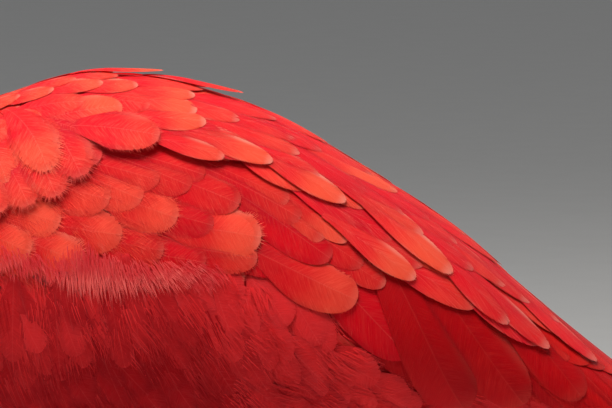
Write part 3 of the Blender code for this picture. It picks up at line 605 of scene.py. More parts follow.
def paces(surface, nudge, t, turn, heading):
    """Changes of t and turn for a metre ahead on a heading over a surface, and for a metre across it."""
    ahead = (surface(t + nudge[0], turn) - surface(t - nudge[0], turn)) / (2 * nudge[0])
    down = (surface(t, turn + nudge[1]) - surface(t, turn - nudge[1])) / (2 * nudge[1])
    speed = np.linalg.norm(ahead, axis=-1)
    along = ahead / speed[..., None]
    lean = (down * along).sum(-1)
    side = np.linalg.norm(down - along * lean[..., None], axis=-1)
    phi = np.radians(heading)
    paces_ahead = np.cos(phi), np.sin(phi)
    paces_across = -np.sin(phi), np.cos(phi)
    return [((a - b / side * lean) / speed, b / side) for a, b in (paces_ahead, paces_across)]


REACH = 1.25  # a shaft's line is followed this far past its root, for barbs that stand out past the tip
STOPS = 12
PATCH, PATCH_EDGE, PATCH_FIELD = 0.003, 0.01, 0.975  # a tuft's patch in the unwrap, and the field of the roots
VANE_HALF_THICK = 0.06 * MM
THICKER_FROM, THICKEST = 6 * MM, 1.6  # broad feathers are thicker, by up to this
FORM = 0.4  # a feather rises fast from its root and lies nearly flat beyond


def chosen(feathers, which):
    """Some of the feathers, by a mask or by numbers."""
    return {key: value[which] for key, value in feathers.items()}


def lay(name, shapes, feathers, finish, surface=body, nudge=(0.01, 0.5), thick=VANE_HALF_THICK):
    """Lays feathers on a surface as one mesh. Each is placed by its tip and followed back to its root."""
    number = len(feathers["t"])
    plain = {"bend": 0.0, "roll": 0.0, "cup": 0.05, "curl": 0.0, "side": 1.0, "pale": 0.5,
             "choice": np.arange(number) * 7 % len(shapes)}
    feathers = {key: value + np.zeros(number) for key, value in {**plain, **feathers}.items()}
    t, turn, length = feathers["t"], feathers["turn"], feathers["length"]
    ahead, _ = paces(surface, nudge, t, turn, feathers["heading"])
    t, turn = t + ahead[0] * length * (REACH - 1), turn + ahead[1] * length * (REACH - 1)
    track = []
    for stop in range(STOPS + 1):
        ahead, across = paces(surface, nudge, t, turn, feathers["heading"] - feathers["bend"] * stop / STOPS)
        track.append(np.stack([t, turn, *across], -1))
        t, turn = t - ahead[0] * length * REACH / STOPS, turn - ahead[1] * length * REACH / STOPS
    track = np.array(track)
    roots = track[-1][:, :2]
    home = PATCH_EDGE + PATCH_FIELD * (roots - roots.min(0)) / np.maximum(roots.max(0) - roots.min(0), 1e-9)
    points, faces, carried, patches, rims, flats, first = [], [], {}, [], [], [], 0
    for choice, shape in enumerate(shapes):
        mine = np.flatnonzero(feathers["choice"] == choice)
        own, half, count = chosen(feathers, mine), feathers["width"][mine] / 2, len(shape["along"])
        f, v = shape["along"][:, None], shape["across"][:, None]
        spot = smooth(track[:, mine], (REACH - shape["along"]) / REACH * STOPS)
        reach = v * half
        t, turn = spot[..., 0] + spot[..., 2] * reach, spot[..., 1] + spot[..., 3] * reach
        lift = (own["lift"] + own["sunk"]) * f**FORM - own["sunk"]
        lift = lift + own["roll"] * reach - own["cup"] * v**2 * half * np.minimum(f * 2, 1)
        lift = lift + own["curl"] * np.clip(f - 0.5, 0, 1) ** 2 * 4
        lift = lift + shape["height"][:, None] * thick * (0.5 + 0.5 * np.minimum(half / THICKER_FROM, THICKEST))
        points.append(surface(t, own["side"] * turn, lift).transpose(1, 0, 2).reshape(-1, 3))
        tris = shape["faces"] + first + np.arange(len(mine))[:, None, None] * count
        faces.append(np.where((own["side"] < 0)[:, None, None], tris[:, :, ::-1], tris).reshape(-1, 3))
        first += count * len(mine)
        seed = np.random.default_rng(choice + len(mine)).uniform(0, 1, len(mine))
        for key, value in (
                ("along", shape["along"]), ("across", shape["across"]), ("tint", own["tint"][:, None]),
                ("barb", shape["barb"] * own["length"][:, None] * 1000), ("pale", own["pale"][:, None]),
                ("seed", seed[:, None])):
            carried.setdefault(key, []).append((value * np.ones((len(mine), count))).ravel())
        spread = np.stack([shape["along"] / 1.3, 0.5 + shape["across"] / 2.6], -1).clip(0, 1) * PATCH
        patches.append((home[mine][:, None] + spread[None]).reshape(-1, 2))
        rims.append(np.tile(shape["rim"], len(mine)))
        flats.append(np.tile(shape["flat"], len(mine)))
    obj = mesh_of(name, np.concatenate(points), np.concatenate(faces), finish)
    carry(obj, **{key: np.concatenate(value) for key, value in carried.items()})
    mesh = obj.data
    ends, corners = np.empty(len(mesh.edges) * 2, np.int32), np.empty(len(mesh.loops), np.int32)
    mesh.edges.foreach_get("vertices", ends)
    mesh.loops.foreach_get("vertex_index", corners)
    on_rim = np.concatenate(rims)[ends].reshape(-1, 2).all(1)
    mesh.attributes.new("sharp_edge", "BOOLEAN", "EDGE").data.foreach_set("value", on_rim)
    mesh.attributes.new("sharp_face", "BOOLEAN", "FACE").data.foreach_set("value", np.concatenate(flats))
    unwrap = mesh.uv_layers.new(name="OFBake")
    unwrap.data.foreach_set("uv", np.concatenate(patches)[corners].astype(np.float32).ravel())
    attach(obj, "root")
    return obj


def plumage(name, deep, bright, rim, streak=0.5, dark_tip=None, gloss=0.6, fibres=0.08, base=0.3):
    """Feather: red along the barbs, brighter toward the tip, partly its own colour and partly a painted shade near
    the root where the feathers above overlie it; paler where the barbs thin out at the rim, and most so on the
    rim that faces up, where the extra paleness is a painted highlight."""
    made = Finish(name, Roughness=gloss, Specular_IOR_Level=0.06, Subsurface_Weight=0.35, Subsurface_Scale=0.002,
                  Subsurface_Radius=(1.0, 0.12, 0.10))
    along, across = made.carried("along"), made.carried("across")
    barb, seed = made.carried("barb"), made.carried("seed")
    combed = made.node("CombineXYZ", X=barb * 1.05 + seed * 57.0, Y=across * 0.7, Z=seed * 31.0)
    fine = made.noise(2.6, detail=4.0, rough=0.75, vector=combed)
    cloud = made.noise(95.0, detail=3.0)
    # Darker toward the root: partly the feather's own colour, partly painted shade where the feathers above overlie it.
    tint = made.carried("tint") * (base + (1 - base) * made.between(along, 0.45, 0.85))
    share = tint + 1.7 * streak * (fine - 0.5) + 0.45 * (cloud - 0.5)
    red = made.mixed(made.between(share, 0.0, 1.0), deep, bright)
    ragged = across + 0.5 * (fine - 0.5)
    # The rim that faces up is paler than the lower rim: a painted highlight where light falls on the upper edges.
    upper = made.between(ragged, -0.5, -1.0)
    lower = made.between(ragged, 0.70, 1.1) * 0.35
    edge = upper.most(lower).most(made.between(along, 0.90, 1.02) * 0.8)
    edge = edge * made.between(along, 0.45, 0.8) * made.carried("pale") * (0.35 + 0.8 * fine)
    red = made.mixed(edge.most(made.between(fine, 0.42, 0.8) * fibres), red, rim)
    shaft = 1 - made.between(abs(across), 0.010, 0.03)
    red = made.mixed(shaft * 0.07, red, rim)
    if dark_tip:
        start, colour = dark_tip
        red = made.mixed(made.between(along + 0.05 * (fine - 0.5), start, start + 0.02), red, colour)
    made.put(Base_Color=red, Roughness=gloss - 0.08 + 0.2 * fine)
    made.bumps(fine, 0.7, 0.0003)
    return made


def pitches(stations, along, around):
    """A coat's pitch along and around the body as a function of station, from mm at given stations."""
    return lambda t: (np.interp(t, stations, along) * MM, np.interp(t, stations, around) * MM)


def scatter(first, last, low, high, pitch, draw, surface=body, jitter=0.22):
    """Staggered rows of places between two stations and two turns, which are numbers or functions of station."""
    t, row, found = first, 0, []
    while t < last:
        lo, hi = (limit(t) if callable(limit) else limit for limit in (low, high))
        ring = surface(t, np.linspace(lo, hi, 50))
        around = np.linalg.norm(np.diff(ring, axis=0), axis=1).sum()
        step = pitch(t)
        count = max(1, round(around / step[1]))
        turn = lo + (hi - lo) * (np.arange(count) + 0.25 + 0.5 * (row % 2)) / count
        found.append(np.stack([np.full(count, t), turn], 1))
        middle = (lo + hi) / 2
        speed = np.linalg.norm(surface(t + 0.01, middle) - surface(t - 0.01, middle)) / 0.02
        found[-1][:, 0] += draw.normal(0, jitter * step[0] / speed, count)
        found[-1][:, 1] += draw.normal(0, jitter * (hi - lo) / count, count)
        t, row = t + step[0] / speed, row + 1
    return np.concatenate(found)


def small_coat(place, size, draw, slim, sway, lengths, widths, sunk, lifts, tints, pale):
    """Feathers at given places that differ a little, by even draws between two ends; lifts are in mm."""
    number = len(place)
    return {
        "t": place[:, 0], "turn": place[:, 1], "heading": draw.normal(0, sway, number),
        "length": size * draw.uniform(*lengths, number), "width": size * slim * draw.uniform(*widths, number),
        "sunk": sunk + np.zeros(number), "lift": draw.uniform(*lifts, number) * MM,
        "tint": draw.uniform(*tints, number), "pale": draw.uniform(*pale, number)}


def both_sides(feathers, draw=None):
    """The same feathers on the left and on the right, where each differs a little from its fellow."""
    number = len(feathers["t"])
    twice = {key: np.tile(value, 2) for key, value in feathers.items()}
    twice["side"] = np.repeat((1.0, -1.0), number)
    if draw:
        for key, spread in (("t", 0.04), ("turn", 0.8), ("heading", 2.5), ("length", 0.8 * MM), ("tint", 0.15)):
            twice[key][number:] += draw.normal(0, spread, number)
        twice["lift"][number:] -= 0.25 * MM
    return twice


def tuft_shape(strands, draw, first=0.15, last=0.6, breadth=0.035):
    """A feather whose barbs hang loose as hair: thin strands side by side, in the form that lay takes."""
    near = draw.uniform(first, last, strands)
    far = np.minimum(near + draw.uniform(0.3, 0.5, strands), draw.uniform(0.7, 1.0, strands))
    place = np.linspace(-0.95, 0.95, strands) + draw.normal(0, 0.05, strands)
    drift = place * 0.1 + draw.normal(0, 0.12, strands)
    half = breadth * draw.uniform(0.6, 1.3, strands)
    ones = np.ones(strands)
    base = np.arange(strands)
    a, b, c, d = (base + k * strands for k in range(4))
    return {
        "along": np.concatenate([near, near, near, far]), "barb": np.tile(place, 4),
        "across": np.concatenate([place - half, place + half, place, place + drift]),
        "height": np.concatenate([ones, ones, -0.5 * ones, 1 + draw.uniform(0, 4, strands)]),
        "rim": np.zeros(4 * strands, bool), "flat": np.ones(4 * strands, bool),
        "faces": np.concatenate([np.stack(tri, 1) for tri in ((a, b, d), (b, c, d), (c, a, d), (b, a, c))])}


HEAD_SEED, NECK_SEED = 11, 12
HEAD_STATIONS, NECK_STATIONS = (0, 2, 4, 6.5), (6, 9, 12.5)
BACK_SEAM, FRONT_SEAM = -3, 184  # turns just past the middle lines, so that the two sides close there


def head_depth(t):
    """How deep the head's feathers are rooted under the coat's outside."""
    return np.interp(t, (0, 1, 3, 6), (0.4, 0.9, 1.5, 2.4)) * MM


draw = np.random.default_rng(HEAD_SEED)
small_red = plumage("head_plumage", (0.50, 0.003, 0.006), (0.78, 0.022, 0.014), (0.85, 0.10, 0.07))
head_pitch = pitches(HEAD_STATIONS, (1.65, 2.1, 2.9, 3.8), (1.45, 1.85, 2.5, 3.2))
place = scatter(0.5, 6.4, BACK_SEAM, FRONT_SEAM - 1, head_pitch, draw)
place = place[bare(place[:, 0] - 0.12, place[:, 1]) < 0.3]
size = np.interp(place[:, 0], HEAD_STATIONS, (3.4, 5.0, 7.0, 9.5)) * MM
coat = head_depth(place[:, 0])
shapes = [vane_shape(3, (0.6,), 0.2, 0.3, draw, aspect=0.3, point=1.7) for _ in range(4)]
lay("head_feathers", shapes, both_sides(small_coat(
    place, size, draw, 0.42, 7, (0.85, 1.15), (0.85, 1.15), coat * 1.05, (-0.15, 0.3), (0.25, 0.7), (0.1, 0.5))),
    small_red)
place = scatter(0.4, 6.6, BACK_SEAM, FRONT_SEAM - 1, lambda t: np.array(head_pitch(t)) * 1.15, draw)
place = place[bare(place[:, 0] - 0.05, place[:, 1]) < 0.6]
number = len(place)
size = np.interp(place[:, 0], HEAD_STATIONS, (3.2, 4.8, 7.0, 9.5)) * MM
coat = head_depth(place[:, 0])
lay("head_hair", [tuft_shape(7, draw, first=0.1, last=0.5, breadth=0.10) for _ in range(5)], both_sides({
    "t": place[:, 0], "turn": place[:, 1], "heading": draw.normal(0, 9, number), "length": size,
    "width": size * 0.5, "sunk": coat, "lift": draw.uniform(0.1, 0.45, number) * MM, "cup": np.zeros(number),
    "tint": draw.uniform(0.4, 0.9, number), "pale": draw.uniform(0.1, 0.4, number)}), small_red, thick=0.05 * MM)
draw = np.random.default_rng(NECK_SEED)
place = scatter(6.3, 12.9, BACK_SEAM, FRONT_SEAM, pitches(NECK_STATIONS, (4.0, 5.8, 8.4), (3.6, 5.4, 8.2)), draw)
place = place[(place[:, 0] < 11.9) | (place[:, 1] > 55)]
under_wing = ease(12.0, 12.5, place[:, 0]) * (1 - ease(98, 112, place[:, 1]))
size = np.interp(place[:, 0], NECK_STATIONS, (9.5, 14.0, 24.0)) * MM
coat = np.interp(place[:, 0], (6, 9, 12), (2.4, 3.2, 5.0)) * MM
shapes = [vane_shape(4, (0.6,), 0.2, 0.25, draw, aspect=0.28, point=1.9) for _ in range(5)]
rows = small_coat(place, size, draw, 0.46, 6, (0.9, 1.1), (0.85, 1.15), coat, (-0.3, 0.6), (0.3, 0.8), (0.2, 0.7))
rows["lift"] -= 2.4 * MM * under_wing
lay("neck_feathers", shapes, both_sides(rows), small_red, thick=0.07 * MM)

# The coat of breast, belly and flanks: broad, soft feathers whose loose barbs stand apart at the rim,
# fluffed out along the wing's lower edge, where they lie over the wing's front as in the cold.
LOWER_EDGE = np.array((97, 95, 92, 78, 88, 112, 130, 112, 92, 80), float)  # of the wing, at stations 12 to 21
BELLY_SEED = 13


def wing_edge(t):
    """Turn of the wing's lower edge at a station."""
    return smooth(LOWER_EDGE, np.asarray(t, float) - 12)


draw = np.random.default_rng(BELLY_SEED)
# The deep red here is darker than the feathers' own red, a painted shade meant for the underside, which the thighs and
# the tail's coverts share.
shaded_body_red = plumage("body_plumage_painted_shade", (0.34, 0.001, 0.004), (0.80, 0.021, 0.024), (0.88, 0.14, 0.13), streak=0.25,
                   base=0.85, fibres=0.05)


def seen_from(pixels):
    """The station and turn of the places on the bird's left that fall on given pixels of the picture."""
    pixels = np.asarray(pixels, float)
    t = np.interp(pixels[:, 0], (0, 115, 300, 612), (12.2, 13.5, 16, 20))
    turn = np.full(len(t), 40.0)
    for _ in range(60):  # steps held short, so that they don't leap off the body
        here = in_picture(body(t, turn))
        by_t = (in_picture(body(t + 0.01, turn)) - here) / 0.01
        by_turn = (in_picture(body(t, turn + 0.5)) - here) / 0.5
        miss = pixels - here
        area = by_t[:, 0] * by_turn[:, 1] - by_t[:, 1] * by_turn[:, 0]
        step_t = (miss[:, 0] * by_turn[:, 1] - miss[:, 1] * by_turn[:, 0]) / area
        step_turn = (by_t[:, 0] * miss[:, 1] - by_t[:, 1] * miss[:, 0]) / area
        t = t + 0.8 * np.clip(step_t, -0.3, 0.3)
        turn = np.clip(turn + 0.8 * np.clip(step_turn, -8, 8), 1, 170)
    return t, turn


def seen_feathers(rows, sunk, seen=0.6, cup=0.03, roll=0.04):
    """Feathers from rows of: pixel of the tip, pixel of the place where the feather comes into sight, width in
    mm, tint, paleness of the rim, kind of fringe, and lift in mm."""
    rows = np.array(rows, float)
    t, turn = seen_from(rows[:, 0:2])
    back_t, back_turn = seen_from(rows[:, 2:4])
    line = body(t, turn) - body(back_t, back_turn)
    ahead = unit(body(t + 0.01, turn) - body(t - 0.01, turn))
    down = body(t, turn + 0.5) - body(t, turn - 0.5)
    down = unit(down - ahead * (down * ahead).sum(1)[:, None])
    number = len(rows)
    return {
        "t": t, "turn": turn, "heading": np.degrees(np.arctan2((line * down).sum(1), (line * ahead).sum(1))),
        "length": np.linalg.norm(line, axis=1) / seen, "width": rows[:, 4] * MM, "tint": rows[:, 5],
        "pale": rows[:, 6], "choice": rows[:, 7] * 3 + np.arange(number) % 3, "lift": rows[:, 8] * MM,
        "sunk": np.full(number, sunk * MM), "cup": np.full(number, cup), "roll": np.full(number, roll)}


def clear_of(place, seen):
    """Which places lie off the seen part of the feathers that are laid down one by one."""
    free = np.ones(len(place), bool)
    spots = body(place[:, 0], place[:, 1])
    for i in range(len(seen["t"])):
        tip, turn = body(seen["t"][i], seen["turn"][i]), math.radians(seen["heading"][i])
        ahead = unit(body(seen["t"][i] + 0.01, seen["turn"][i]) - tip)
        down = body(seen["t"][i], seen["turn"][i] + 0.5) - tip
        down = unit(down - ahead * (down @ ahead))
        line, side = ahead * math.cos(turn) + down * math.sin(turn), down * math.cos(turn) - ahead * math.sin(turn)
        back, across = (tip - spots) @ line, (spots - tip) @ side
        free &= ~((back > -3 * MM) & (back < 0.55 * seen["length"][i]) & (np.abs(across) < 0.55 * seen["width"][i]))
    return free


FRINGES = (  # barbs, columns, unevenness, notches, hairs, their length and evenness: whole, fine, soft and long
    (10, (0.1, 0.7), 0.01, 0.01, 40, 0.07, 1.6), (12, (0.1, 0.7), 0.02, 0.04, 64, 0.15, 1.4),
    (12, (0.1, 0.6), 0.04, 0.08, 80, 0.27, 1.2), (14, (0.1, 0.6), 0.06, 0.25, 100, 0.45, 0.7))


def fringes(draw, aspect, **form):
    """Three shapes of each kind of fringe."""
    return [vane_shape(*kind[:4], draw, aspect=aspect, hidden=0.35, hairs=kind[4], hair=kind[5], even=kind[6],
                       **{"splits": 1, **form}) for kind in FRINGES for _ in range(3)]


place = scatter(12.4, 18.9, lambda t: wing_edge(t) + np.interp(t, (15.3, 16), (9, -3)), FRONT_SEAM,
                pitches((12, 14, 18), (7.6, 9.4, 9.4), (7.0, 8.8, 8.5)), draw)
number = len(place)
size = np.interp(place[:, 0], (12, 14, 18), (25, 31, 30)) * MM
near_wing = 1 - ease(4, 30, place[:, 1] - wing_edge(place[:, 0]))
# Painted light: belly feathers are painted brighter near the wing's lower edge, where the flank bulges up into the
# light, and dimmer toward the rear as painted shade.
painted_light = (1 - ease(8, 44, place[:, 1] - wing_edge(place[:, 0]))) * np.interp(place[:, 0], (15.5, 18), (1, 0.6))
soft = [vane_shape(9, (0.6,), 0.05, 0.12, draw, aspect=0.24, point=1.7, widest=0.55, hairs=12, hair=0.5, even=0.8)
        for _ in range(6)]
tufts = [tuft_shape(34, draw, breadth=0.033) for _ in range(6)]
coat = {
    "t": place[:, 0], "turn": place[:, 1],
    "heading": np.interp(place[:, 0], (12.4, 14, 15.5, 17, 19), (70, 60, 46, 20, 5))
    * (1 - ease(130, 176, place[:, 1])) + draw.normal(0, 10, number),
    "length": size * (1 - 0.25 * near_wing) * draw.uniform(0.9, 1.12, number),
    "width": size * 0.46 * draw.uniform(0.8, 1.15, number),
    "sunk": (1.6 + 2.8 * near_wing) * MM, "lift": (draw.uniform(-0.3, 0.0, number) - 1.5 * near_wing**2) * MM,
    "cup": draw.uniform(0.04, 0.10, number), "tint": 0.85 * painted_light + draw.uniform(-0.04, 0.2, number),
    "pale": np.zeros(number)}
down = {key: np.tile(value, 2) for key, value in coat.items()}
down["t"] += draw.normal(0.06, 0.18, 2 * number)
down["turn"] += draw.normal(0, 5, 2 * number)
down["length"] *= draw.uniform(0.6, 0.85, 2 * number)
down["lift"] += draw.uniform(0.1, 0.6, 2 * number) * (1 - 0.7 * np.tile(near_wing, 2)) * MM
down["sunk"] += 1.5 * np.tile(near_wing, 2) * MM
# The down takes the same painted light near the wing's edge and painted shade toward the rear.
down["tint"] = np.tile(painted_light, 2) + draw.uniform(0.05, 0.5, 2 * number)
HAIRY = (  # loose feathers that hang over the front of the wing's edge: pixels of tip and root, tint, lift in mm
    (-10, 274, -18, 246, 0.5, 0.9), (2, 280, -6, 248, 0.5, 1), (14, 277, 6, 252, 0.5, 0.9),
    (26, 286, 17, 255, 0.4, 0.9), (38, 281, 28, 258, 0.4, 0.9), (50, 293, 42, 260, 0.4, 0.9),
    (62, 289, 55, 262, 0.5, 1), (73, 303, 68, 258, 0.7, 1.2), (80, 310, 76, 250, 1, 1.7), (87, 299, 82, 252, 1, 1.8),
    (94, 309, 88, 256, 0.9, 1.6), (101, 299, 93, 260, 1, 1.6), (110, 311, 101, 262, 0.8, 1.5),
    (119, 300, 109, 262, 1, 1.6), (129, 308, 118, 264, 0.9, 1.5), (139, 295, 126, 266, 1, 1.5),
    (149, 304, 135, 266, 0.8, 1.3), (159, 292, 144, 268, 0.9, 1.4), (169, 299, 153, 268, 0.8, 1.3),
    (180, 287, 162, 268, 0.9, 1.3), (191, 294, 172, 268, 0.7, 1), (202, 284, 183, 268, 0.7, 0.9),
    (213, 291, 194, 270, 0.5, 0.6), (224, 293, 207, 272, 0.4, 0.4))
hair = np.array(HAIRY)
width, fringe = np.full(len(hair), 8.5), np.zeros(len(hair))
hair = np.column_stack([hair[:, :4], width, hair[:, 4], 0.3 * hair[:, 4], fringe, 0.7 * hair[:, 5]])
hair = both_sides(seen_feathers(hair, 3.5, seen=0.8, cup=0.0, roll=0.0), draw)
hair["choice"] = np.arange(len(hair["t"])) % 3 * 1.0
coat, down = both_sides(coat, draw), both_sides(down, draw)
flank_red = plumage("flank_plumage", (0.68, 0.016, 0.024), (0.94, 0.12, 0.105), (0.95, 0.28, 0.24))
for name, side in (("left", 1), ("right", -1)):
    strands = [tuft_shape(90, draw, first=0.05, last=0.6, breadth=0.022) for _ in range(3)]
    for kind, shapes, rows, finish in (("belly_feathers_", soft, coat, shaded_body_red),
                                       ("belly_down_", tufts, down, shaded_body_red),
                                       ("flank_hair_", strands, hair, flank_red)):
        lay(kind + name, shapes, chosen(rows, rows["side"] == side), finish)

# The thighs: short soft feathers, dull red, that lie down the limb in rows. They grow from the skin of the
# thigh and end where the bare shank begins.
THIGH_SEED = 14
for name, side in (("left", -1), ("right", 1)):
    draw = np.random.default_rng(THIGH_SEED)
    rows = placed(THIGH, side)

    def thigh(t, turn, lift=0.0):
        return limb(rows, t, turn, lift)

    place = scatter(0.9, 2.98, 0, 360, lambda t: (6.0 * MM, 5.4 * MM), draw, surface=thigh)
    size = np.interp(place[:, 0], (0, 3), (19, 12)) * MM
    shapes = [vane_shape(8, (0.6,), 0.28, 0.2, draw, aspect=0.28) for _ in range(4)]
    lay("thigh_feathers_" + name, shapes, small_coat(
        place, size, draw, 0.45, 7, (0.9, 1.1), (0.85, 1.1), THIGH_COAT, (-0.2, 0.8), (0.2, 0.75), (0.1, 0.5)),
        shaded_body_red, surface=thigh, thick=0.07 * MM)

# The legs: bare pink skin over shank, heel and toes in one. Broad plates run down the front of the shank
# and along the top of each toe, small rounded scales cover the rest, and the toes have soft pads.
LEG = np.array((  # mm from the top of the back, and half sizes fore and aft, and across
    (27.7, 26, -158, 5.0, 4.6), (29.2, 26, -161.35, 4.7, 4.2), (35.5, 26, -175, 4.2, 3.7), (40, 26, -188, 6.0, 5.2),
    (38.5, 26, -200, 4.5, 3.6), (34, 26, -225, 3.8, 3.0), (29.5, 26, -251, 3.8, 3.1), (26.5, 26, -274, 4.8, 4.4),
    (25.8, 26, -280, 5.2, 4.8)))
FOOT = placed(((25.6, 26, -285),))[0]
PAD_SIZE, PAD_HEIGHT = np.array((9, 7, 5.3)) * MM, 4.9 * MM
TOES = (("inner", 44, -21, 1.0), ("middle", 60, 2, 1.0), ("outer", 48, 28, 1.0), ("hind", 25, -172, 0.85))
JOINT_SHARES = np.array((0.05, 0.25, 0.4, 0.55, 0.7, 0.85, 1.0))
LEG_PLATE, LEG_SCALE, LEG_SCALES_ROUND = 3.3 * MM, 1.5 * MM, 16
TOE_PLATE, TOE_SCALE, TOE_SCALES_ROUND, TOE_HALF = 2.4 * MM, 1.3 * MM, 14, 2.6 * MM
leg_finish = flesh("scaled_skin", Roughness=0.45, Subsurface_Weight=0.2, Subsurface_Scale=0.002)
mottle = leg_finish.noise(170.0, detail=4.0)
grain = leg_finish.noise(1500.0, detail=3.0)
red = leg_finish.mixed(leg_finish.between(mottle, 0.3, 0.7), (0.46, 0.085, 0.075), (0.64, 0.19, 0.155))
red = leg_finish.mixed(leg_finish.carried("groove") * 0.8, red, (0.26, 0.05, 0.045))
leg_finish.put(Base_Color=red, Roughness=0.36 + 0.25 * grain)
leg_finish.bumps(grain, 0.35, 0.0001)


def scale_grooves(u, v):
    """0 on small six-sided scales of unit width, and 1 in the grooves between them."""
    row_pitch = 0.87
    rows, away = np.round(v / row_pitch), []
    for row in (rows - 1, rows, rows + 1):
        shift = 0.5 * (row % 2)
        near = np.round(u - shift) + shift
        away += [np.hypot(u - near - k, v - row_pitch * row) for k in (-1, 0, 1)]
    away = np.sort(np.stack(away), 0)
    return 1 - ease(0.05, 0.3, away[1] - away[0])


def scaled(rows, stations, sides, plated, plate, scale, count):
    """Rings of a limb with plates over the part where plated is 1 and small scales elsewhere; and its grooves."""
    t, turn = rings_of(stations, sides)
    middle = smooth(rows, stations)[:, :3]
    run = np.concatenate([[0], np.cumsum(np.linalg.norm(np.diff(middle, axis=0), axis=1))])[:, None]
    share = plated(limb(rows, t, turn) - middle[:, None], turn)
    phase = run / plate + 0.35 * (1 - share) + 0 * turn
    step = phase - np.floor(phase)
    plate_groove = 1 - ease(0.03, 0.16, np.minimum(step, 1 - step))
    small_groove = scale_grooves(turn / 360 * count, run / scale + 0 * turn)
    sharp = ease(0.25, 0.6, share)
    groove = sharp * plate_groove + (1 - sharp) * small_groove
    rise = sharp * (0.20 * step - 0.12 * plate_groove) - (1 - sharp) * 0.13 * small_groove
    return limb(rows, t, turn, rise * MM), groove


def toe_radius(share, slim):
    """A toe's radius at a share of its length: it thins out and swells a little at each joint."""
    return slim * (1 + 0.12 * np.cos(share / 0.3 * 2 * np.pi)) * (3.5 - 1.2 * share) * MM


for name, side in (("left", -1), ("right", 1)):
    root = FOOT * (1, side, 1)
    rings, groove = scaled(placed(LEG, side), np.linspace(0, 8, 290), 84,
                           lambda out, turn: 1 - ease(30, 75, np.abs(turn - 180)), LEG_PLATE, LEG_SCALE,
                           LEG_SCALES_ROUND)
    parts = [(rings, groove)]
    for toe, length, heading, slim in TOES:
        heading = math.radians(heading)
        ahead = np.array((-math.cos(heading), side * math.sin(heading), 0))
        radius = toe_radius(JOINT_SHARES, slim)
        joints = np.column_stack([root + ahead * length * MM * JOINT_SHARES[:, None], radius, radius * 0.95])
        joints[:, 2] += radius * 0.9
        stations = np.linspace(0, 6, 34 + 2 * length)
        rings, groove = scaled(joints, stations, 44, lambda out, turn: ease(0.2, 0.75, out[..., 2] / TOE_HALF),
                               TOE_PLATE, TOE_SCALE, TOE_SCALES_ROUND)
        end = np.sqrt(1 - ease(5.82, 6.04, stations) ** 2)[:, None, None]
        middle = rings.mean(1, keepdims=True)
        rings = middle + (rings - middle) * end
        underside = ease(0.3, 0.9, -(rings - middle)[..., 2] / TOE_HALF)
        folds = 0.25 * MM * np.abs(np.sin(stations * 2.1))[:, None] * underside
        rings[..., 2] = np.maximum(rings[..., 2] + folds, 0.03 * MM)
        parts.append((rings, groove))
    lean, turn = np.radians(rings_of(np.linspace(176, 4, 40), 60))
    ball = np.stack([np.sin(lean) * np.cos(turn), np.sin(lean) * np.sin(turn), np.cos(lean)], -1) * PAD_SIZE
    ball = ball + root + (0, 0, PAD_HEIGHT)
    ball[..., 2] = np.maximum(ball[..., 2], 0.02 * MM)
    parts.append((ball, scale_grooves(turn / (2 * np.pi) * 22, lean * 4.2)))
    meshes = []
    for rings, groove in parts:
        points, faces = loft(rings)
        meshes.append(mesh_of("leg_" + name, points, faces, leg_finish))
        carry(meshes[-1], groove=with_ends(groove, 0, 0))
    leg = meshes.pop(0)
    united(leg, meshes)
    leg.data.shade_smooth()
    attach(leg, "root")
    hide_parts("shank_" + name, "foot_" + name)

# The claws: dark horn, curved and blunt, with fine lines that run along them. Each grows out of a fold
# of skin at the end of a toe.
CLAW_LENGTH, CLAW_GAP, CLAW_ROOT, CLAW_RINGS = 9 * MM, 0.3 * MM, 1.6 * MM, 46
claw_horn = Finish("claw_horn_worn", Roughness=0.35, Coat_Weight=0.2, Coat_Roughness=0.2)
along = claw_horn.carried("along")
combed = claw_horn.node("CombineXYZ", X=along * 3.0, Y=claw_horn.carried("round") * 14.0)
lines = claw_horn.noise(1.0, detail=4.0, vector=combed)
claw_horn.put(Base_Color=claw_horn.mixed(lines, (0.020, 0.013, 0.011), (0.085, 0.055, 0.045)),
              Roughness=0.26 + 0.35 * lines)
claw_horn.bumps(lines, 0.3, 0.0001)
for name, side in (("left", -1), ("right", 1)):
    for toe, length, heading, slim in TOES:
        heading = math.radians(heading)
        ahead = np.array((-math.cos(heading), side * math.sin(heading), 0))
        toe_end = toe_radius(1.0, slim) * 0.95
        share = np.linspace(-CLAW_ROOT / CLAW_LENGTH, 1, CLAW_RINGS)
        ahead_share = np.maximum(share, 0)
        radius = toe_end * 0.85 * (1 - 0.78 * ahead_share) * np.sqrt(1 - ease(0.93, 1.004, share) ** 2)
        middle = FOOT * (1, side, 1) + ahead * (length * MM + CLAW_GAP + CLAW_LENGTH * share[:, None])
        rows = np.column_stack([middle, radius, radius * 0.8])
        rows[:, 2] += toe_end * (0.95 - 0.55 * ahead_share**2)
        t, turn = rings_of(np.arange(CLAW_RINGS), 28)
        points, faces = loft(limb(rows, t, turn))
        claw = mesh_of("claw_" + name + "_" + toe + "_horn", points, faces, claw_horn)
        carry(claw, along=with_ends(t / (CLAW_RINGS - 1), 0, 1),
              round=with_ends(np.abs(np.sin(np.radians(turn))), 0, 0))
        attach(claw, "root")
        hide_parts(f"claw_{name}_{toe}")

# The tail: twelve stiff feathers, closed like a fan under the middle pair, with soft coverts over and
# under their roots. They grow from the stump of the tail and slope down with the back.
TAIL_LENGTH, TAIL_PITCH, TAIL_PAIRS = 92 * MM, math.radians(28), 6
TAIL_ARCH = 6.0  # fall of its sides in metres, for each square metre of the way across
TAIL_COVERTS, UNDERTAIL_COVERTS = 72, 72
TAIL_SEED = 15


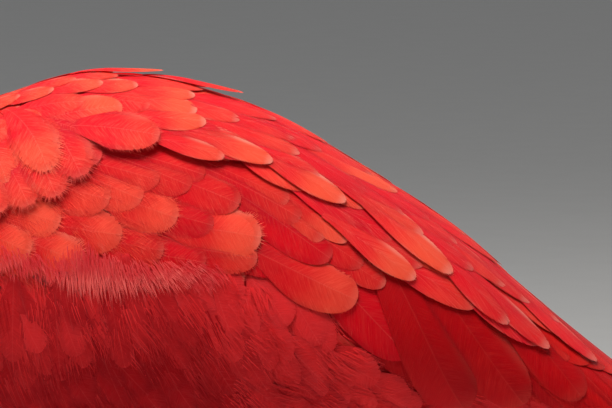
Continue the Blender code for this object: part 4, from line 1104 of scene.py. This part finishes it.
def tail(along, across, lift=0.0):
    """Points of the closed tail's arched upper side, at metres from the end of the body and to the left."""
    along, across, lift = np.broadcast_arrays(np.asarray(along, float), across, lift)
    root = (BODY_ROWS[18, 0:2] + BODY_ROWS[18, 2:4]) / 2 + BACK_PLACE
    drop = lift - TAIL_ARCH * across**2
    return np.stack([root[0] + along * math.cos(TAIL_PITCH) + drop * math.sin(TAIL_PITCH), -across,
                     root[1] - along * math.sin(TAIL_PITCH) + drop * math.cos(TAIL_PITCH)], -1)


ON_TAIL = {"surface": tail, "nudge": (1e-4, 1e-4)}
draw = np.random.default_rng(TAIL_SEED)
flight_red = plumage("flight_plumage", (0.42, 0.001, 0.004), (0.76, 0.012, 0.010), (0.82, 0.10, 0.07),
                     streak=0.35, gloss=0.45)
stiff = [vane_shape(56, (0.05, 0.5, 0.9), 0.03, 0.05, draw, aspect=0.1, widest=0.8, point=2.6, root=0.5, lead=0.11)
         for _ in range(3)]
pair = np.repeat(np.arange(TAIL_PAIRS), 2)
side = np.tile((-1.0, 1.0), TAIL_PAIRS)
spread = 2.5 + pair * 1.65 + (pair > 3) * 0.2
rectrices = lay("tail_feathers", stiff, {
    "t": (TAIL_LENGTH - 1.1 * MM * pair) * draw.uniform(0.985, 1.0, len(pair)), "turn": -side * spread * MM,
    "heading": -side * pair * 0.9, "length": 86 * MM, "width": 15 * MM,
    "sunk": (2.2 + 0.75 * pair + 0.2 * (side > 0)) * MM, "lift": -(0.2 + 0.75 * pair + 0.3 * (side > 0)) * MM,
    "tint": draw.uniform(0.3, 0.7, len(pair)), "pale": draw.uniform(0.2, 0.5, len(pair))},
    flight_red, thick=0.11 * MM, **ON_TAIL)
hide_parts("tail")
number = TAIL_COVERTS
along = draw.uniform(14, 56, number) * MM
covert = [vane_shape(18, (0.6,), 0.14, 0.12, draw, aspect=0.24, point=2.0) for _ in range(5)]
half = np.interp(along, (0, 56 * MM), (16 * MM, 11 * MM))
lay("tail_coverts", covert, {
    "t": along, "turn": draw.uniform(-1, 1, number) * half, "heading": draw.normal(0, 5, number),
    "length": draw.uniform(30, 38, number) * MM, "width": draw.uniform(13, 16, number) * MM,
    "sunk": draw.uniform(2, 3.4, number) * MM, "lift": (0.7 + 2.4 * (1 - along / (56 * MM))) * MM,
    "tint": draw.uniform(0.2, 0.7, number), "pale": draw.uniform(0.2, 0.6, number)}, shaded_body_red, **ON_TAIL)
number = UNDERTAIL_COVERTS
along = draw.uniform(8, 60, number) * MM
half = np.interp(along, (0, 60 * MM), (15 * MM, 8 * MM))
deep = np.interp(along, (0, 27 * MM, 54 * MM, 62 * MM), (-19 * MM, -12 * MM, -7 * MM, -6.2 * MM))
across = draw.uniform(-1, 1, number) * half
deep = deep * np.sqrt(1 - 0.7 * (across / np.maximum(half, 1e-6)) ** 2) + 0 * along
lay("undertail_coverts", covert, {
    "t": along, "turn": across, "heading": draw.normal(0, 5, number), "length": draw.uniform(28, 36, number) * MM,
    "width": draw.uniform(12, 15, number) * MM, "sunk": -deep - 2 * MM, "lift": deep,
    "cup": -0.15, "tint": draw.uniform(0.1, 0.6, number), "pale": draw.uniform(0.2, 0.6, number)},
    shaded_body_red, **ON_TAIL)

# The folded wings: long stiff flight feathers stacked under rows of coverts. The outermost flight
# feathers end in blue black. Coverts are broad and soft, and each row lies over the roots of the next.
WING_SEED = 16
wing_dark = plumage("outer_flight_plumage", (0.38, 0.001, 0.004), (0.62, 0.007, 0.008), (0.70, 0.05, 0.04),
                    streak=0.35, gloss=0.42, dark_tip=(0.80, (0.012, 0.012, 0.022)))
covert_red = plumage("covert_plumage", (0.64, 0.001, 0.008), (0.94, 0.065, 0.034), (0.95, 0.26, 0.19), streak=0.3,
                     fibres=0.10)


def row_of(count, first, last, lengths, widths, headings, sunk, lifts, draw, tints=(0.2, 0.6), pale=(0.2, 0.6),
           bend=(0, 0), roll=0.0, cup=0.1, loose=1.0):
    """One row of feathers from a first tip to a last, all measures running evenly between two ends, in mm."""
    share = np.linspace(0, 1, count)

    def run(ends, spread=0.0):
        return ends[0] + (ends[1] - ends[0]) * share + draw.normal(0, 1, count) * spread * loose

    return {
        "t": run((first[0], last[0]), 0.035), "turn": run((first[1], last[1]), 0.7), "heading": run(headings, 1.8),
        "length": run(lengths, 0.7) * MM, "width": run(widths, 0.5) * MM, "sunk": run(sunk) * MM,
        "lift": run(lifts, 0.16) * MM, "bend": run(bend), "roll": np.full(count, roll),
        "cup": np.full(count, cup) + draw.normal(0, 0.02, count), "tint": draw.uniform(*tints, count),
        "pale": draw.uniform(*pale, count)}


def rows_together(rows):
    """Several sets of feathers as one."""
    return {key: np.concatenate([row[key] for row in rows]) for key in rows[0]}


draw = np.random.default_rng(WING_SEED)
primaries = rows_together([row_of(
    5, (20.0, 90), (20.9, 60), (104, 122), (13, 13), (3, 1), (5.5, 5.0), (-3.8, -2.4), draw, roll=0.05, loose=0.4)])
secondaries = rows_together([
    row_of(10, (18.2, 140), (19.9, 60), (100, 108), (19, 19), (34, 18), (5.6, 5.2), (-3.0, -1.2), draw, roll=0.09,
           bend=(24, 12), loose=0.5, tints=(0.0, 0.45), pale=(0.2, 0.5)),
    row_of(5, (18.6, 50), (19.35, 14), (78, 84), (18, 18), (5, 2), (5.0, 4.2), (-1.5, -0.4), draw, loose=0.5,
           tints=(0.3, 0.8))])
COVERT_ROWS = (  # number, first tip and last, then ends of length, width, heading, lift and tint
    (10, (13.2, 92), (13.0, 39), (24, 26), (14, 15), (24, 16), (-2.2, -2.6), (0.3, 0.8)),
    (10, (13.6, 91), (13.5, 39), (26, 28), (15, 15), (24, 16), (-2.2, -2.6), (0.3, 0.8)),
    (10, (14.0, 89), (14.0, 39), (28, 30), (15, 16), (24, 16), (-2.2, -2.6), (0.2, 0.8)),
    (9, (14.4, 87), (14.5, 39), (30, 32), (16, 17), (22, 14), (-2.2, -2.5), (0.2, 0.8)),
    (9, (14.8, 85), (15.0, 39), (32, 34), (17, 18), (22, 14), (-2.2, -2.4), (0.1, 0.7)),
    (9, (15.3, 86), (15.5, 39), (36, 40), (18, 19), (20, 12), (-2.3, -2.4), (0.1, 0.6)),
    (9, (15.9, 92), (16.2, 40), (46, 52), (19, 20), (18, 10), (-2.5, -2.4), (0.1, 0.5)),
    (9, (16.7, 102), (17.1, 42), (56, 62), (20, 20), (16, 8), (-2.8, -2.4), (0.1, 0.5)))
coverts = rows_together([row_of(*row[:6], (5.4, 5.4), row[6], draw, row[7]) for row in COVERT_ROWS])
# A few tints are lowered as painted shade: the covert tipped at (258, 258) under the one at (262, 236), the one at
# (358, 300), and the dark one at (410, 360).
SEEN_COVERTS = (  # rows as seen_feathers takes them
    (178, 217, 122, 196, 17, 0.75, 0.3, 2, 0.2), (262, 236, 196, 224, 20, 0.9, 0.6, 2, 0.5),
    (240, 202, 172, 172, 17, 0.25, 0.3, 1, 0.2), (358, 300, 286, 268, 19, 0.65, 0.3, 0, 0.4),
    (332, 258, 260, 208, 17, 0.05, 0.2, 0, 0.3), (258, 258, 196, 246, 14, 0.45, 0.3, 1, 0.1),
    (348, 240, 294, 199, 10, 0.85, 0.7, 0, 0.6), (386, 284, 340, 254, 11, 0.35, 0.5, 0, 0.2),
    (60, 222, 4, 204, 17, 0.9, 0.3, 2, 0.1), (110, 198, 50, 182, 17, 0.6, 0.2, 2, 0.1),
    (122, 234, 62, 226, 16, 0.65, 0.2, 2, 0.1), (142, 198, 84, 172, 17, 0.6, 0.2, 1, 0.1),
    (192, 184, 132, 158, 16, 0.3, 0.1, 1, 0), (160, 178, 98, 160, 15, 0.4, 0.1, 1, 0),
    (302, 216, 232, 176, 17, 0.3, 0.2, 1, 0.1), (290, 198, 228, 166, 14, 0.4, 0.3, 1, 0),
    (214, 224, 150, 206, 15, 0.15, 0.2, 1, 0.1), (326, 236, 262, 196, 14, 0.5, 0.4, 0, 0.2),
    (364, 264, 298, 220, 14, 0.25, 0.2, 0, 0.1), (290, 264, 226, 234, 18, 0.1, 0.1, 0, -0.7),
    (80, 262, 34, 244, 16, 0.95, 0.5, 3, 0.7), (30, 252, -16, 232, 16, 0.9, 0.4, 3, 0.5),
    (164, 250, 108, 240, 14, 0.3, 0.3, 2, 0.1), (206, 262, 150, 252, 14, 0.15, 0.2, 2, 0.1),
    (410, 360, 340, 290, 19, -0.2, 0, 0, -0.8), (206, 172, 140, 150, 16, 0.25, 0.1, 1, -0.2))
# The blades' low tints, in the darker flight red, are a painted shade for the lower rear of the wing.
SEEN_BLADES = (
    (455, 412, 376, 282, 21, 0.1, 0.2, 0, 0.6), (520, 406, 430, 294, 20, 0.2, 0.3, 0, 0.3),
    (580, 402, 488, 298, 19, 0.1, 0.3, 0, 0.3))


def seen_on_wing(rows):
    """Feathers laid at their own places on the wing, which press closer to it than their rows say."""
    feathers = seen_feathers(rows, 2.8, cup=0.06, roll=0.02)
    feathers["lift"] = 0.6 * feathers["lift"] - 1.6 * MM
    return feathers


coverts["lift"] -= 0.2 * MM
seen = seen_on_wing(SEEN_COVERTS)
free = clear_of(np.stack([coverts["t"], coverts["turn"]], 1), seen)
coverts = chosen(coverts, free)
coverts["choice"] = 3.0 + np.arange(free.sum()) % 3
coverts = rows_together([{key: row[key] for key in seen} for row in (coverts, seen)])
blades = seen_on_wing(SEEN_BLADES)
blades["bend"] = 0 * blades["t"]
# The seen blades join the secondaries and so take the darker flight red, a painted shade.
secondaries = rows_together([secondaries, {key: blades[key] for key in secondaries}])
broad = fringes(draw, 0.27, point=2.4)
blade = [vane_shape(40, (0.05, 0.5, 0.92), 0.01, 0.02, draw, aspect=0.1, widest=0.72, point=2.4, root=0.5, lead=0.11)
         for _ in range(3)]
for name, side in (("left", 1), ("right", -1)):
    for kind, shapes, rows, finish in (
            ("primaries_", blade, primaries, wing_dark), ("secondaries_", blade, secondaries, flight_red),
            ("coverts_", broad, coverts, covert_red)):
        piece = lay(kind + name, shapes, {**rows, "side": float(side)}, finish)
        if kind == "coverts_":
            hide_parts("wing_" + name)

fluff = scatter(12.4, 14.7, 60, lambda t: wing_edge(t) + 8, lambda t: (8 * MM, 8 * MM), draw)
number = len(fluff)
fluff = both_sides({
    "t": fluff[:, 0], "turn": fluff[:, 1], "heading": draw.normal(24, 8, number),
    "length": draw.uniform(14, 20, number) * MM, "width": draw.uniform(9, 12, number) * MM,
    "sunk": np.full(number, 2.6 * MM), "lift": draw.uniform(-1.6, -1.3, number) * MM, "cup": np.zeros(number),
    "tint": draw.uniform(0.5, 1.0, number), "pale": draw.uniform(0, 0.4, number)}, draw)
for name, side in (("left", 1), ("right", -1)):
    lay("coverts_down_" + name, [tuft_shape(32, draw, first=0.3, last=0.7, breadth=0.016) for _ in range(4)],
        chosen(fluff, fluff["side"] == side), covert_red)

# The cape of mantle and shoulder feathers over the back. Its lower edge hangs free over the wing and
# throws a dark line on it. Centres are orange, rims pale and frayed, and a few tips fly off the ridge.
CAPE_EDGE = np.array((86, 74, 49, 44, 48, 57, 58, 50, 40, 30), float)  # at stations 12 to 21
CAPE_SEED, CAPE_CURL = 17, -0.25 * MM
SEEN_FRONT = (  # rows as seen_feathers takes them
    (54, 89, 10, 98, 11, 0.7, 0.8, 1, 0), (103, 82, 58, 87, 11, 0.7, 0.8, 1, 0.1),
    (138, 84, 92, 85, 11, 0.65, 0.9, 1, 0.1), (20, 95, -22, 109, 12, 0.6, 0.6, 1, 0),
    (76, 78, 36, 86, 10, 0.5, 0.6, 1, 0), (118, 75, 72, 76, 10, 0.5, 0.4, 1, 0),
    (84, 101, 36, 105, 14, 0.45, 0.3, 1, 0), (122, 106, 66, 113, 16, 0.95, 0.3, 1, 0.4),
    (150, 104, 100, 97, 14, 0.3, 0.3, 1, 0), (42, 117, 0, 125, 14, 0.5, 0.3, 1, 0),
    (12, 126, -30, 138, 15, 0.5, 0.3, 1, 0), (158, 138, 98, 127, 16, 0.5, 0.3, 2, 1.6),
    (90, 134, 50, 119, 15, 0.35, 0.2, 2, 0.1), (47, 171, 27, 120, 15, 0.8, 0.2, 3, 1.2),
    (81, 176, 57, 128, 15, 0.4, 0.2, 3, 0.6), (6, 182, -8, 132, 15, 0.7, 0.2, 3, 0.3),
    (56, 196, 36, 150, 14, 0.45, 0.2, 3, 0.5), (28, 205, 8, 160, 14, 0.5, 0.2, 3, 0.4),
    (0, 212, -22, 170, 14, 0.5, 0.2, 3, 0.6), (-6, 188, -30, 150, 14, 0.6, 0.2, 3, 0.5),
    (66, 150, 34, 120, 15, 0.5, 0.2, 2, 0.3))
SEEN_REAR = (  # rows as seen_feathers takes them
    (203, 88, 130, 79, 12, 0.45, 0.4, 0, -0.1), (195, 94, 140, 89, 12, 0.75, 1, 0, 0.2),
    (197, 110, 140, 97, 14, 0.95, 1, 0, 0.4), (206, 122, 148, 116, 11, 0.85, 0.9, 1, 1),
    (224, 158, 168, 140, 8, 0.6, 0.7, 1, 1.6), (272, 162, 206, 136, 10, 0.95, 1, 1, 1.7),
    (250, 146, 170, 124, 11, 0.35, 0.6, 0, 0.6), (262, 158, 190, 138, 9, 0.2, 0.3, 1, 0.8),
    (240, 119, 176, 101, 11, 0.4, 0.8, 0, 0.2), (222, 132, 160, 118, 9, 0.05, 0.2, 0, 0.2),
    (276, 118, 205, 97, 11, 0.3, 0.5, 0, 0), (296, 138, 220, 112, 11, 0.3, 0.8, 0, 0.2),
    (322, 150, 250, 117, 11, 0.15, 0.3, 0, 0.2), (300, 153, 226, 122, 10, 0.45, 0.7, 0, 0.3),
    (328, 142, 255, 107, 11, 0.35, 0.6, 0, 0), (320, 177, 250, 144, 11, 0.3, 0.6, 0, 0.7),
    (398, 191, 322, 152, 13, 0.95, 0.5, 0, 0.2), (346, 202, 280, 164, 11, 0.95, 1, 1, 1.5),
    (368, 193, 296, 150, 10, 0.05, 0.3, 0, 0.4), (374, 176, 300, 132, 11, 0.3, 0.5, 0, 0),
    (430, 219, 360, 178, 11, 0.05, 0.2, 0, 0.2), (404, 215, 335, 174, 10, 0.15, 0.5, 0, 0.4),
    (453, 275, 380, 214, 11, 0.95, 1, 1, 1.5), (424, 235, 350, 188, 10, 0.5, 0.9, 0, 0.8),
    (416, 279, 360, 240, 10, 0.9, 0.8, 1, 0.8), (458, 244, 385, 196, 11, 0.2, 0.5, 0, 0.1),
    (474, 270, 400, 218, 10, 0.15, 0.5, 0, 0.5), (498, 262, 420, 206, 10, 0.3, 0.4, 0, 0),
    (506, 286, 432, 228, 11, 0.35, 0.8, 0, 0.3), (530, 302, 452, 240, 11, 0.2, 0.8, 0, 0.2),
    (549, 349, 478, 284, 9, 0.3, 0.8, 0, 1), (508, 324, 446, 264, 11, 0.3, 0.8, 0, 1),
    (560, 322, 484, 258, 11, 0.25, 0.8, 0, 0.1), (598, 362, 512, 286, 11, 0.2, 0.7, 0, 0.3),
    (466, 234, 392, 188, 10, 0.4, 0.4, 0, -0.1))


def cape_edge(t):
    """Turn of the cape's free edge at a station."""
    return smooth(CAPE_EDGE, np.asarray(t, float) - 12)


draw = np.random.default_rng(CAPE_SEED)
cape_red = plumage("cape_plumage", (0.76, 0.003, 0.014), (0.96, 0.072, 0.034), (0.98, 0.34, 0.26), streak=0.38,
                   fibres=0.16)
place = scatter(11.7, 18.4, 3, lambda t: cape_edge(t) - 3, pitches((12, 18), (9.5, 13), (9.5, 9.0)), draw,
                jitter=0.16)
for name, first, last, table in (("cape_front", 11, 14.3, SEEN_FRONT), ("cape_rear", 14.3, 19, SEEN_REAR)):
    front = name == "cape_front"
    seen = seen_feathers(table, 1.6 if front else 1.1, cup=0.03 if front else 0.06, roll=0.02)
    seen["lift"] *= 0.9 if front else 0.38
    seen["curl"] = np.full(len(seen["t"]), CAPE_CURL)
    spots = place[(place[:, 0] >= first) & (place[:, 0] < last)]
    number = len(spots)
    to_edge = np.clip(spots[:, 1] / cape_edge(spots[:, 0]), 0, 1)
    lean = np.interp(spots[:, 0], (12, 13, 14, 15, 16, 18), (30, 22, 14, 9, 6, 4))
    under = {
        "t": spots[:, 0], "turn": spots[:, 1], "heading": 3 + lean * to_edge**1.5 + draw.normal(0, 3, number),
        "length": np.interp(spots[:, 0], (11.7, 14, 16, 18.4), (26, 34, 42, 54)) * MM,
        "width": np.interp(spots[:, 0], (12, 15, 18), (14, 14, 12)) * draw.uniform(0.9, 1.1, number) * MM,
        "tint": draw.uniform(0.15, 0.7, number), "pale": draw.uniform(0.2, 0.6, number),
        "choice": np.where(spots[:, 0] < 14, np.where(spots[:, 1] < 30, 3, 6), 0) + draw.integers(0, 3, number),
        "sunk": np.full(number, 2.0 * MM), "lift": ((-1.3 if front else -0.9) + 0.3 * to_edge**1.5) * MM,
        "cup": np.full(number, 0.03), "roll": np.full(number, 0.04), "curl": np.full(number, CAPE_CURL)}
    rows = both_sides(rows_together([seen, under]), draw)
    if not front:  # a row down the middle of the back, where the two sides part
        t = np.arange(first + 0.6, last - 1.0, 0.35)
        ridge = {"t": t, "side": 1.0, "length": np.interp(t, np.sort(under["t"]), np.sort(under["length"])),
                 "width": 13 * MM, "tint": 0.3 + 0.2 * np.cos(5 * t), "pale": 0.3, "choice": np.arange(len(t)) % 3,
                 "sunk": 2.0 * MM, "lift": -0.9 * MM, "curl": CAPE_CURL}
        rows = rows_together([rows, {key: ridge.get(key, 0.0) + np.zeros(len(t)) for key in rows}])
    shapes = fringes(draw, 0.24) if front else fringes(draw, 0.17, point=1.8, widest=0.66, lead=0.4, splits=2)
    cape = lay(name, shapes, rows, cape_red)
    if front:
        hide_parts("mantle")
FLYAWAY = (  # station, turn, length and width in mm, lift in mm, tint
    (13.91, 3, 30, 9, 1.2, 0.7), (14.74, 4, 34, 9, 1.5, 0.4))
t, turn, length, width, lift, tint = np.array(FLYAWAY).T
lay("flyaway_tips", fringes(draw, 0.14, point=1.6)[:3], {
    "t": t, "turn": turn, "length": length * MM, "width": width * MM, "lift": lift * MM, "tint": tint,
    "heading": np.array((-1.0, 1.0)), "sunk": 1.0 * MM, "pale": 0.6, "curl": 0.8 * MM}, cape_red)
